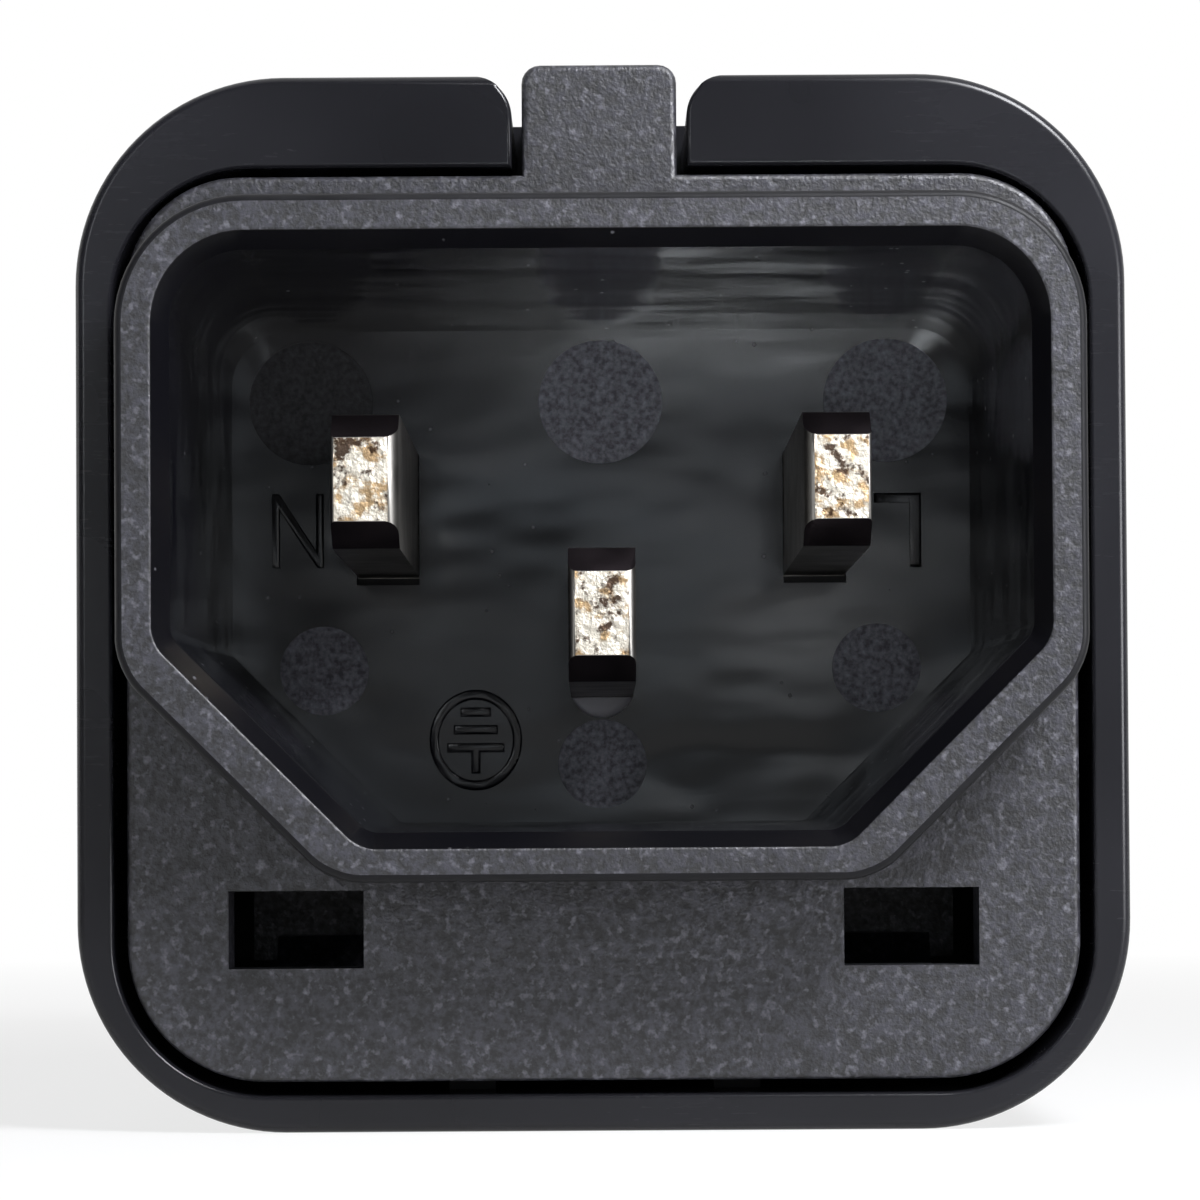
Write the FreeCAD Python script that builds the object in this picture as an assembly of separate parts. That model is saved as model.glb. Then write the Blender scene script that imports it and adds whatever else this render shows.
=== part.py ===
"""C14 to C19 plug adapter, in millimetres.

A square sleeve, the housing, holds two moulded blocks that snap together inside it. The inlet
block closes the front (-Y) end with a C14 inlet: a shroud round three flat pins. The socket block
shows at the back (+Y) end as a C19 outlet: a plain nose with three slots, each over a folded spring
receptacle. A brass link joins each pin to its receptacle, and an insulating carrier between the two
blocks keeps the poles apart and backs up the pins.

+Z is up, X runs across the body and Y runs through it. The origin is the bottom centre.
"""
import FreeCAD, Part
import math
import os

from FreeCAD import Vector

# ---- Housing: the square outer sleeve ----
body_width = 31.2
body_height = 31.35
body_length = 30.0
body_corner_radius = 6.2
body_front_bevel = 0.3
body_back_round = 0.9
side_wall = 1.1
bottom_wall = 1.1
top_wall = 2.75
rear_wall = 1.6
mouth_bottom_radius = 4.5
mouth_top_radius = 3.0
stop_rib_thickness = 1.4
bottom_rib_height = 3.4
bottom_rib_offset = 4.0
top_rib_shroud_gap = 0.4
top_rib_offset = 9.0

# ---- Inlet block: front plate, tab, shroud and cavity ----
plate_gap = 0.4
plate_thickness = 2.0
plate_edge_bevel = 0.2
tab_width = 4.6
tab_length = 8.6
tab_proud = 0.3
tab_edge_round = 0.35
tab_clearance = 0.3
notch_lip_radius = 1.1
shroud_proud = 4.0
shroud_wall = 1.4
shroud_edge_bevel = 0.3
shroud_side_gap = 0.65
shroud_top_gap = 1.5
shroud_bottom_height = 7.55
cavity_depth = 17.0
cavity_top_radius = 2.2
cavity_bevel_width = 6.1
cavity_bevel_height = 5.3
cavity_bevel_radius = 0.6
cavity_draft_step = 0.35
lead_in_width = 0.43
lead_in_depth = 0.7
floor_thickness = 2.0
window_width = 4.0
window_height = 2.3
window_offset = 9.1
window_shroud_gap = 0.4
catch_lug_setback = 9.0
catch_lug_thickness = 2.2
catch_lug_slope = 1.2

# ---- Pins ----
pin_thickness = 2.0
pin_width = 4.0
pin_recess = 3.6
pin_side_bevel = 0.2
pin_end_bevel = 0.75
pin_bevel_length = 0.9
pin_pitch = 14.0
pin_row_rise = 1.975
earth_pin_drop = 4.0
pin_fit = 0.03
pin_relief = 0.3
pin_flange_margin = 0.6
pin_flange_thickness = 1.0
pin_tail_thickness = 1.4
pin_tail_width = 2.0
pin_head_margin = 0.35
pin_head_thickness = 0.5

# ---- Socket block: the C19 nose, its cells and the latch arms ----
nose_side_step = 1.6
nose_top_step = 5.475
nose_length = 20.0
nose_corner_radius = 1.3
nose_end_round = 0.5
nose_wall = 1.8
nose_clearance = 0.15
flange_thickness = 2.4
block_gap = 0.25
slot_width = 5.8
slot_height = 2.8
slot_radius = 0.3
slot_lead_in = 0.45
slot_pitch = 13.0
slot_row_rise = 4.0
earth_slot_drop = 8.0
arm_width = 3.1
arm_thickness = 1.2
arm_window_gap = 0.15
arm_barb_rise = 0.93
arm_barb_length = 1.8
arm_barb_slope = 0.9
arm_side_clearance = 0.05
latch_play = 0.05

# ---- Contact carrier ----
carrier_thickness = 2.4
carrier_clearance = 0.3
barrier_thickness = 1.0
barrier_bottom_gap = 5.9
barrier_top_gap = 2.6
barrier_end_gap = 0.2
post_size = 3.2
post_gap = 0.1

# ---- Links, receptacles and their rivets ----
link_thickness = 0.8
link_width = 4.6
link_bend = 0.5
link_cell_gap = 0.4
link_head_gap = 0.1
link_foot_reach = 1.7
receptacle_thickness = 0.5
receptacle_side_gap = 0.3
receptacle_bend = 0.5
receptacle_head_gap = 0.3
receptacle_throat = 0.9
receptacle_throat_setback = 3.2
receptacle_mouth_flare = 0.75
receptacle_end_gap = 0.6
rivet_diameter = 1.6
rivet_head_diameter = 2.8
rivet_head_thickness = 0.5
rivet_seat_gap = 0.1

# ---- Places that follow from the sizes ----
overall_length = shroud_proud + body_length + nose_length
rim_y = -overall_length / 2
front_y = rim_y + shroud_proud
plate_back_y = front_y + plate_thickness
back_y = front_y + body_length
nose_end_y = back_y + nose_length
floor_y = rim_y + cavity_depth
pot_end_y = floor_y + floor_thickness
rear_wall_y = back_y - rear_wall
flange_y = rear_wall_y - flange_thickness
carrier_y = flange_y - carrier_thickness
mouth_half_width = body_width / 2 - side_wall
mouth_low = bottom_wall
mouth_high = body_height - top_wall
top_rib_height = shroud_top_gap - top_rib_shroud_gap
tab_top = body_height + tab_proud
cavity_width = 2 * (mouth_half_width - shroud_side_gap - shroud_wall)
cavity_high = mouth_high - shroud_top_gap - shroud_wall
cavity_low = shroud_bottom_height + shroud_wall
pin_row_height = (cavity_low + cavity_high) / 2 + pin_row_rise
nose_width = body_width - 2 * nose_side_step
nose_height = body_height - 2 * nose_top_step
nose_centre_height = body_height / 2
slot_row_height = nose_centre_height + slot_row_rise
pole_names = ("line", "neutral", "earth")
pin_places = {
    "line": (pin_pitch / 2, pin_row_height),
    "neutral": (-pin_pitch / 2, pin_row_height),
    "earth": (0.0, pin_row_height - earth_pin_drop),
}
slot_places = {
    "line": (slot_pitch / 2, slot_row_height),
    "neutral": (-slot_pitch / 2, slot_row_height),
    "earth": (0.0, slot_row_height - earth_slot_drop),
}
window_high = shroud_bottom_height - window_shroud_gap
window_low = window_high - window_height
catch_lug_y = front_y + catch_lug_setback
arm_inner_edge = window_offset - window_width / 2 + arm_side_clearance
arm_top_height = window_low - arm_window_gap
barrier_middle = slot_pitch / 4  # halfway from the earth link's edge to the line link's
link_leg_inside = rivet_head_diameter / 2 + link_head_gap + link_bend
receptacle_half_height = rivet_head_diameter / 2 + receptacle_head_gap + receptacle_bend
cell_height = 2 * (link_leg_inside + link_thickness + link_cell_gap)
beyond = 5.0  # how far a cutting tool runs past the face that it opens


# ---- Shapes that several pieces share ----
def box(x_low, x_high, y_low, y_high, z_low, z_high):
    """A block between two corners."""
    corner = Vector(x_low, y_low, z_low)
    return Part.makeBox(x_high - x_low, y_high - y_low, z_high - z_low, corner)


def centred_box(centre_x, centre_z, width, height, y_low, y_high):
    """A block centred on a line along Y."""
    return box(centre_x - width / 2, centre_x + width / 2, y_low, y_high,
               centre_z - height / 2, centre_z + height / 2)


def rounded_wire(points, radii):
    """A closed wire through the points, each corner rounded by a tangent arc of its own radius."""
    arcs = []
    for i, (here, radius) in enumerate(zip(points, radii)):
        back = (points[i - 1] - here).normalize()
        ahead = (points[(i + 1) % len(points)] - here).normalize()
        half_angle = back.getAngle(ahead) / 2
        reach = radius / math.tan(half_angle)
        middle = here + (back + ahead).normalize() * (radius / math.sin(half_angle) - radius)
        arcs.append((here + back * reach, middle, here + ahead * reach, radius))
    edges = []
    for i, (start, middle, end, radius) in enumerate(arcs):
        if radius > 0:
            edges.append(Part.Arc(start, middle, end).toShape())
        next_start = arcs[(i + 1) % len(arcs)][0]
        if end.distanceToPoint(next_start) > 1e-6:
            edges.append(Part.LineSegment(end, next_start).toShape())
    return Part.Wire(edges)


def across(corners, y):
    """A closed wire across the body at depth y, from corners (x, z, radius)."""
    return rounded_wire([Vector(x, y, z) for x, z, _ in corners], [radius for _, _, radius in corners])


def prism(corners, y_low, y_high):
    """The outline of the corners (x, z, radius), run along Y."""
    return Part.Face(across(corners, y_low)).extrude(Vector(0, y_high - y_low, 0))


def taper(first_corners, first_y, last_corners, last_y):
    """A solid that runs from one outline to another of the same kind."""
    return Part.makeLoft([across(first_corners, first_y), across(last_corners, last_y)], True, True)


def side_profile(corners, x_low, x_high):
    """The outline of the corners (y, z, radius), run along X."""
    wire = rounded_wire([Vector(x_low, y, z) for y, z, _ in corners], [radius for _, _, radius in corners])
    return Part.Face(wire).extrude(Vector(x_high - x_low, 0, 0))


def rectangle(centre_x, centre_z, width, height, radius):
    """The corners of a rounded rectangle."""
    left, right = centre_x - width / 2, centre_x + width / 2
    low, high = centre_z - height / 2, centre_z + height / 2
    return [(left, low, radius), (right, low, radius), (right, high, radius), (left, high, radius)]


def folded_strip(route, thickness, bend, x_low, x_high):
    """A strip of sheet metal folded along a route of (y, z) points on its middle line.

    bend is the radius inside each fold, and the strip runs from x_low to x_high.
    """
    points = [Vector(0, y, z) for y, z in route]
    left, right = [], []
    for i, here in enumerate(points):
        into = (here - points[i - 1]).normalize() if i > 0 else None
        out = (points[i + 1] - here).normalize() if i + 1 < len(points) else None
        into, out = into or out, out or into
        normal_in, normal_out = Vector(0, -into.z, into.y), Vector(0, -out.z, out.y)
        share = 1 + normal_in.dot(normal_out)
        offset = (normal_in + normal_out) * (thickness / 2 / share)
        turn = into.y * out.z - into.z * out.y
        inner_is_left = turn > 0
        sharp = 0 if abs(turn) < 1e-9 else 1
        left.append((here + offset, sharp * (bend if inner_is_left else bend + thickness)))
        right.append((here - offset, sharp * (bend + thickness if inner_is_left else bend)))
    corners = [(point.y, point.z, radius) for point, radius in left + right[::-1]]
    return side_profile(corners, x_low, x_high)


def rod(centre_x, centre_z, diameter, y_low, y_high):
    """A round bar along Y."""
    start = Vector(centre_x, y_low, centre_z)
    return Part.makeCylinder(diameter / 2, y_high - y_low, start, Vector(0, 1, 0))


def end_edges(solid, y):
    """The edges of a solid that lie wholly at depth y."""
    boxes = [(edge, edge.BoundBox) for edge in solid.Edges]
    return [edge for edge, bounds in boxes if max(abs(bounds.YMin - y), abs(bounds.YMax - y)) < 1e-4]


def body_outline():
    """The square outside of the sleeve."""
    return rectangle(0, body_height / 2, body_width, body_height, body_corner_radius)


def mouth_outline(inset):
    """The inside of the sleeve, or what fits in it with a gap all round."""
    half, low, high = mouth_half_width - inset, mouth_low + inset, mouth_high - inset
    low_radius, high_radius = mouth_bottom_radius - inset, mouth_top_radius - inset
    return [(-half, low, low_radius), (half, low, low_radius),
            (half, high, high_radius), (-half, high, high_radius)]


def cavity_outline(grow):
    """The six-sided C14 outline, moved outwards by grow."""
    half, low, high = cavity_width / 2 + grow, cavity_low - grow, cavity_high + grow
    slant = math.hypot(cavity_bevel_width, cavity_bevel_height)
    bevel_width = cavity_bevel_width + grow * (1 - (slant - cavity_bevel_width) / cavity_bevel_height)
    bevel_height = cavity_bevel_height + grow * (1 - (slant - cavity_bevel_height) / cavity_bevel_width)
    top_radius = max(cavity_top_radius + grow, 0.1)
    bevel_radius = max(cavity_bevel_radius + grow, 0.1)
    return [
        (-half + bevel_width, low, bevel_radius), (half - bevel_width, low, bevel_radius),
        (half, low + bevel_height, bevel_radius), (half, high, top_radius),
        (-half, high, top_radius), (-half, low + bevel_height, bevel_radius),
    ]


def nose_outline(grow):
    """The C19 nose, or the opening that it passes through."""
    return rectangle(0, nose_centre_height, nose_width + 2 * grow, nose_height + 2 * grow,
                     nose_corner_radius + grow)


def stop_ribs(gap):
    """The four ribs inside the sleeve, or the slots that clear them by a gap."""
    half = stop_rib_thickness / 2 + gap
    y_low = plate_back_y - gap
    sunk = min(bottom_wall, top_wall) / 2
    ribs = []
    for side in (-1, 1):
        low_x, high_x = side * bottom_rib_offset, side * top_rib_offset
        ribs.append(box(low_x - half, low_x + half, y_low, rear_wall_y,
                        mouth_low - sunk, mouth_low + bottom_rib_height + gap))
        ribs.append(box(high_x - half, high_x + half, y_low, rear_wall_y,
                        mouth_high - top_rib_height - gap, mouth_high + sunk))
    return ribs


# ---- The pieces ----
def make_housing():
    """The sleeve: one moulding, open in front, with a wall at the back that the nose passes."""
    sleeve = prism(body_outline(), front_y, back_y)
    sleeve = sleeve.makeChamfer(body_front_bevel, end_edges(sleeve, front_y))
    sleeve = sleeve.makeFillet(body_back_round, end_edges(sleeve, back_y))
    mouth = prism(mouth_outline(0), front_y - beyond, rear_wall_y)
    nose_opening = prism(nose_outline(nose_clearance), rear_wall_y - beyond, back_y + beyond)
    half_notch = tab_width / 2 + tab_clearance
    lip_end = half_notch + notch_lip_radius
    notch_back_y = front_y + tab_length + tab_clearance
    side = [(half_notch, mouth_high - top_wall / 2, 0), (half_notch, body_height, notch_lip_radius),
            (lip_end, body_height, 0), (lip_end, body_height + beyond, 0)]
    mirrored = [(-x, z, radius) for x, z, radius in side[::-1]]
    notch = prism(side + mirrored, front_y - beyond, notch_back_y)
    return sleeve.cut([mouth, nose_opening, notch]).fuse(stop_ribs(0)).removeSplitter()


def make_inlet_block():
    """The C14 end: plate, tab and shroud in one moulding, with the pot that holds the pins."""
    plate = prism(mouth_outline(plate_gap), front_y, plate_back_y)
    plate = plate.makeChamfer(plate_edge_bevel, end_edges(plate, front_y))
    half_tab = tab_width / 2
    tab_outline = [(-half_tab, mouth_high, 0), (half_tab, mouth_high, 0),
                   (half_tab, tab_top, tab_edge_round), (-half_tab, tab_top, tab_edge_round)]
    tab = prism(tab_outline, front_y, front_y + tab_length)
    tab_middle = (mouth_high + tab_top) / 2
    top_front = [edge for edge in end_edges(tab, front_y) if edge.BoundBox.ZMin > tab_middle]
    tab = tab.makeChamfer(plate_edge_bevel, top_front)
    web = box(-half_tab, half_tab, front_y, plate_back_y, mouth_high - top_rib_height, tab_middle)
    pot = prism(cavity_outline(shroud_wall), rim_y, pot_end_y)
    pot = pot.makeChamfer(shroud_edge_bevel, end_edges(pot, rim_y))
    bevel_top = cavity_low + cavity_bevel_height
    lug_slope_y = catch_lug_y + catch_lug_thickness
    lug_profile = [(catch_lug_y, window_low, 0), (lug_slope_y - catch_lug_slope, window_low, 0),
                   (lug_slope_y, window_low + catch_lug_slope, 0), (lug_slope_y, bevel_top, 0),
                   (catch_lug_y, bevel_top, 0)]
    lugs = [side_profile(lug_profile, side * window_offset - window_width / 2,
                         side * window_offset + window_width / 2) for side in (-1, 1)]
    cavity = taper(cavity_outline(0), rim_y, cavity_outline(-cavity_draft_step), floor_y)
    lead_in = taper(cavity_outline(lead_in_width), rim_y, cavity_outline(0), rim_y + lead_in_depth)
    window_middle = (window_low + window_high) / 2
    windows = [centred_box(side * window_offset, window_middle, window_width, window_height,
                           front_y - beyond, catch_lug_y) for side in (-1, 1)]
    pin_holes = []
    for x, z in pin_places.values():
        pin_holes.append(box(x - pin_thickness / 2 - pin_fit, x + pin_thickness / 2 + pin_fit,
                             floor_y - beyond, pot_end_y + beyond,
                             z - pin_width / 2 - pin_relief, z + pin_width / 2 + pin_fit))
        flange_grow = 2 * (pin_flange_margin + pin_fit)
        pin_holes.append(centred_box(x, z, pin_thickness + flange_grow, pin_width + flange_grow,
                                     pot_end_y - pin_flange_thickness, pot_end_y + beyond))
    block = plate.fuse([tab, web, pot] + lugs)
    return block.cut([cavity, lead_in] + windows + pin_holes).removeSplitter()


def make_pin(pole):
    """A flat pin: bevelled tip, blade, seat flange, and a tail that is headed over its link."""
    x, z = pin_places[pole]
    tip_y = rim_y + pin_recess
    shoulder_y = tip_y + pin_bevel_length
    tip = rectangle(x, z, pin_thickness - 2 * pin_side_bevel, pin_width - 2 * pin_end_bevel, 0)
    full = rectangle(x, z, pin_thickness, pin_width, 0)
    head_y = pot_end_y + link_thickness
    parts = [
        centred_box(x, z, pin_thickness, pin_width, shoulder_y, pot_end_y),
        centred_box(x, z, pin_thickness + 2 * pin_flange_margin, pin_width + 2 * pin_flange_margin,
                    pot_end_y - pin_flange_thickness, pot_end_y),
        centred_box(x, z, pin_tail_thickness, pin_tail_width, pot_end_y, head_y),
        centred_box(x, z, pin_tail_thickness + 2 * pin_head_margin, pin_tail_width + 2 * pin_head_margin,
                    head_y, head_y + pin_head_thickness),
    ]
    return taper(tip, tip_y, full, shoulder_y).fuse(parts).removeSplitter()


def link_leg_height(pole):
    """The height of a link's leg, just clear of the rivet head and the far wall of its cell."""
    away = -1 if pole == "earth" else 1
    return slot_places[pole][1] + away * (link_leg_inside + link_thickness / 2)


def link_foot_y():
    """The depth of the face where a link's rear foot meets its receptacle."""
    return flange_y + rivet_seat_gap + rivet_head_thickness + link_thickness


def make_link(pole):
    """A folded brass strap from the tail of a pin to the base of its receptacle."""
    pin_x, pin_z = pin_places[pole]
    slot_x, slot_z = slot_places[pole]
    leg_z = link_leg_height(pole)
    away = 1 if leg_z > slot_z else -1
    front_foot_y = pot_end_y + link_thickness / 2
    rear_foot_y = link_foot_y() - link_thickness / 2
    route = [(front_foot_y, pin_z - away * link_foot_reach), (front_foot_y, leg_z),
             (rear_foot_y, leg_z), (rear_foot_y, slot_z - away * link_foot_reach)]
    strap = folded_strip(route, link_thickness, link_bend, slot_x - link_width / 2, slot_x + link_width / 2)
    tail_hole = centred_box(pin_x, pin_z, pin_tail_thickness, pin_tail_width,
                            pot_end_y, pot_end_y + link_thickness)
    rivet_hole = rod(slot_x, slot_z, rivet_diameter, link_foot_y() - link_thickness, link_foot_y())
    return strap.cut([tail_hole, rivet_hole])


def make_receptacle(pole):
    """A spring contact: a strip folded into two leaves that close on the blade, open at the mouth."""
    x, z = slot_places[pole]
    base_y = link_foot_y() + receptacle_thickness / 2
    mouth_y = nose_end_y - nose_wall - receptacle_end_gap
    throat_y = mouth_y - receptacle_throat_setback
    half_width = slot_width / 2 - receptacle_side_gap
    throat = receptacle_throat + receptacle_thickness / 2
    upper = [(mouth_y, throat + receptacle_mouth_flare), (throat_y, throat), (base_y, receptacle_half_height)]
    lower = [(y, -rise) for y, rise in upper[::-1]]
    route = [(y, z + rise) for y, rise in upper + lower]
    strip = folded_strip(route, receptacle_thickness, receptacle_bend, x - half_width, x + half_width)
    rivet_hole = rod(x, z, rivet_diameter, base_y - receptacle_thickness, base_y + receptacle_thickness)
    return strip.cut(rivet_hole)


def make_contact_rivet(pole):
    """A rivet along Y that holds a receptacle's base to its link."""
    x, z = slot_places[pole]
    foot_front_y = link_foot_y() - link_thickness
    base_back_y = link_foot_y() + receptacle_thickness
    shank = rod(x, z, rivet_diameter, foot_front_y - rivet_head_thickness, base_back_y + rivet_head_thickness)
    front_head = rod(x, z, rivet_head_diameter, foot_front_y - rivet_head_thickness, foot_front_y)
    back_head = rod(x, z, rivet_head_diameter, base_back_y, base_back_y + rivet_head_thickness)
    return shank.fuse([front_head, back_head]).removeSplitter()


def make_latch_arm(side):
    """A springy arm under the pot whose barb hooks in front of a catch lug."""
    inner, outer = side * arm_inner_edge, side * (arm_inner_edge + arm_width)
    low = arm_top_height - arm_thickness
    barb_back_y = catch_lug_y - latch_play
    tip_y = barb_back_y - arm_barb_length
    profile = [(tip_y, low, 0), (flange_y + flange_thickness / 2, low, 0),
               (flange_y + flange_thickness / 2, arm_top_height, 0), (barb_back_y, arm_top_height, 0),
               (barb_back_y, arm_top_height + arm_barb_rise, 0),
               (tip_y + arm_barb_slope, arm_top_height + arm_barb_rise, 0), (tip_y, arm_top_height, 0)]
    return side_profile(profile, min(inner, outer), max(inner, outer))


def make_socket_block():
    """The C19 end: flange, nose, contact cells and latch arms in one moulding."""
    flange = prism(mouth_outline(block_gap), flange_y, rear_wall_y)
    nose = prism(nose_outline(0), flange_y, nose_end_y)
    nose = nose.makeFillet(nose_end_round, end_edges(nose, nose_end_y))
    cuts = stop_ribs(block_gap)
    cell_end_y = nose_end_y - nose_wall
    for x, z in slot_places.values():
        cuts.append(centred_box(x, z, slot_width, cell_height, flange_y - beyond, cell_end_y))
        cuts.append(prism(rectangle(x, z, slot_width, slot_height, slot_radius), cell_end_y - beyond,
                          nose_end_y + beyond))
        wide = rectangle(x, z, slot_width + 2 * slot_lead_in, slot_height + 2 * slot_lead_in,
                         slot_radius + slot_lead_in)
        narrow = rectangle(x, z, slot_width, slot_height, slot_radius)
        cuts.append(taper(narrow, nose_end_y - slot_lead_in, wide, nose_end_y))
    body = flange.fuse(nose).cut(cuts)
    return body.fuse([make_latch_arm(side) for side in (-1, 1)]).removeSplitter()


def make_contact_carrier():
    """The insulating plate that shuts the cells, with two barriers and a post behind each pin."""
    plate = prism(mouth_outline(block_gap), carrier_y, flange_y)
    cuts = stop_ribs(block_gap)
    for side in (-1, 1):
        centre = side * (arm_inner_edge + arm_width / 2)
        half = arm_width / 2 + carrier_clearance
        cuts.append(box(centre - half, centre + half, carrier_y - beyond, flange_y + beyond,
                        mouth_low - beyond, arm_top_height + carrier_clearance))
    for pole in pole_names:
        middle, slot_z = slot_places[pole]
        half = link_width / 2 + carrier_clearance
        leg_z = link_leg_height(pole)
        reach = link_thickness / 2 + carrier_clearance
        if leg_z > slot_z:
            low, high = leg_z - reach, mouth_high + beyond
        else:
            low, high = mouth_low - beyond, leg_z + reach
        cuts.append(box(middle - half, middle + half, carrier_y - beyond, flange_y + beyond, low, high))
    adds = []
    root_y = carrier_y + carrier_thickness / 2
    half = barrier_thickness / 2
    for middle in (-barrier_middle, barrier_middle):
        adds.append(box(middle - half, middle + half, pot_end_y + barrier_end_gap, root_y,
                        mouth_low + barrier_bottom_gap, mouth_high - barrier_top_gap))
    post_y = pot_end_y + link_thickness + pin_head_thickness + post_gap
    for x, z in pin_places.values():
        adds.append(centred_box(x, z, post_size, post_size, post_y, root_y))
    return plate.cut(cuts).fuse(adds).removeSplitter()


# ---- Build and write ----
def make_pieces():
    """Every piece by the name of its node."""
    pieces = {
        "housing": make_housing(),
        "inlet_block": make_inlet_block(),
        "socket_block": make_socket_block(),
        "contact_carrier": make_contact_carrier(),
    }
    for pole in pole_names:
        pieces[pole + "_pin"] = make_pin(pole)
        pieces[pole + "_link"] = make_link(pole)
        pieces[pole + "_receptacle"] = make_receptacle(pole)
    pieces["contact_rivets"] = Part.makeCompound([make_contact_rivet(pole) for pole in pole_names])
    return pieces


os.makedirs("parts", exist_ok=True)
for name, piece in make_pieces().items():
    piece.exportStep(os.path.join("parts", name + ".step"))
    print(f"{name}: {len(piece.Solids)} solid(s), valid {piece.isValid()}, {piece.Volume:.1f} mm3")
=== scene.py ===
"""Dresses a C14 to C19 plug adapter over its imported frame.

The frame is in metres: +Z is up, X runs across the body, and Y runs from the C14 end (-Y) to the
C19 end (+Y). Each piece is shaped in millimetres on the bench and scaled to metres as it leaves.
"""

import logging
import math
from collections.abc import Iterator, Sequence
from contextlib import contextmanager
from dataclasses import dataclass
from enum import Enum

import bmesh
import bpy
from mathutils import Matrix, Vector


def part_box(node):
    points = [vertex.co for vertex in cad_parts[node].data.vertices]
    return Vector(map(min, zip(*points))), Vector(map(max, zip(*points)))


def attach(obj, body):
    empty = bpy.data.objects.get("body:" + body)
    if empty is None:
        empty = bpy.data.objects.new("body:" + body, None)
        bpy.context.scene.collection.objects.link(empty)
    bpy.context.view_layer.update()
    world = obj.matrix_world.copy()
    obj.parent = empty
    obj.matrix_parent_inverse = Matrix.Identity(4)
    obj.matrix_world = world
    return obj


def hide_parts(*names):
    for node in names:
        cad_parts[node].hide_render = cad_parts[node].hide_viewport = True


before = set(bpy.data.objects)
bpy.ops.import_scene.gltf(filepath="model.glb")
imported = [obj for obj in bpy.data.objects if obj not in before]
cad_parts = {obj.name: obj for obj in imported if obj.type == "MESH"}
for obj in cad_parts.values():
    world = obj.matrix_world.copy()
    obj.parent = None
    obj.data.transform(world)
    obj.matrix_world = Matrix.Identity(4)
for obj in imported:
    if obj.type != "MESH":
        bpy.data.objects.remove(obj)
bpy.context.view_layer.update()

log = logging.getLogger("adapter")

Span = tuple[float, float]
Triple = tuple[float, float, float]
Colour = tuple[float, float, float, float]
Relief = tuple[float, float]  # how deep a bump is, in metres, and how much of it shows
Socket = bpy.types.NodeSocket

MM = 1000.0  # millimetres in a metre
BODY = "root"
SIDES = (-1, 1)
TO_FRONT = (0.0, -1.0, 0.0)
WHITE = (1.0, 1.0, 1.0, 1.0)
UPSIDE_DOWN = (0.0, 180.0, 0.0)
LEVEL = 90.0  # the turn, in degrees, of a camera that looks straight ahead

BRIGHTEST = 255.0  # the display level of white
TOE, TOE_SLOPE, CURVE_START, CURVE_POWER = 0.04045, 12.92, 0.055, 2.4  # the display's sRGB curve

SAME_PLACE = 1e-3  # how near, in millimetres, two places count as one
MERGE = SAME_PLACE / 2
SAME_WAY = 0.99  # how near 1 the product of two directions is when they count as one
STRAIGHT = 0.999  # how much of an edge runs along the axis that it counts as following
SQUARE, SLANTED, BLUNT, SLIGHT = 60.0, 40.0, 25.0, 8.0  # edges sharper than this, in degrees
FLAT_WITHIN = 0.2  # the angle, in degrees, within which faces are merged
SMOOTH_BELOW = 32.0  # the angle, in degrees, below which shading runs over an edge
REACH, LONG_REACH = 1.0, 5.0  # how far a cutter reaches past what it cuts, in millimetres


# ---- Choices ----
class Axis(Enum):
    """A direction in the frame."""

    X = 0
    Y = 1
    Z = 2


class Joining(Enum):
    """How one workpiece acts on another."""

    CUT = "DIFFERENCE"
    FUSE = "UNION"


class Part(Enum):
    """What is selected in an open piece."""

    VERTEX = "VERT"
    EDGE = "EDGE"
    FACE = "FACE"


class Pole(Enum):
    """The three poles of the adapter, by the first word of their nodes."""

    LINE = "line"
    NEUTRAL = "neutral"
    EARTH = "earth"


class Slot(Enum):
    """Names of material slots for the new pieces, which are passed on but read nowhere."""

    HOUSING = "housing"
    INLET = "inlet_block"
    SOCKET = "socket_block"
    PIN = "pin_metal"


class Operation(Enum):
    """A sum of two values in a material."""

    PLUS = "ADD"
    LESS = "SUBTRACT"
    TIMES = "MULTIPLY"
    LARGER = "MAXIMUM"


class Grain(Enum):
    """How a noise is layered: how many finer layers lie on it, and how strong they are."""

    FAINT = (1.0, 0.5)
    SOFT = (2.0, 0.5)
    CRISP = (2.0, 0.6)
    LEATHERY = (2.5, 0.6)
    CLOUDY = (3.0, 0.5)
    RICH = (3.0, 0.6)
    PATCHY = (3.0, 0.65)
    SCRATCHED = (3.0, 0.7)
    RAGGED = (4.0, 0.7)


# ---- Materials ----
@dataclass(frozen=True)
class Pattern:
    """A noise over the object, with its scale in cells to a metre."""

    per_metre: float
    grain: Grain = Grain.SOFT
    stretch: Triple = (1.0, 1.0, 1.0)
    shift: Triple = (0.0, 0.0, 0.0)


@dataclass(frozen=True)
class Ramp:
    """Maps the span that a value comes in to the span that it leaves in, and stops at the ends."""

    come: Span
    go: Span = (0.0, 1.0)


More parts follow.
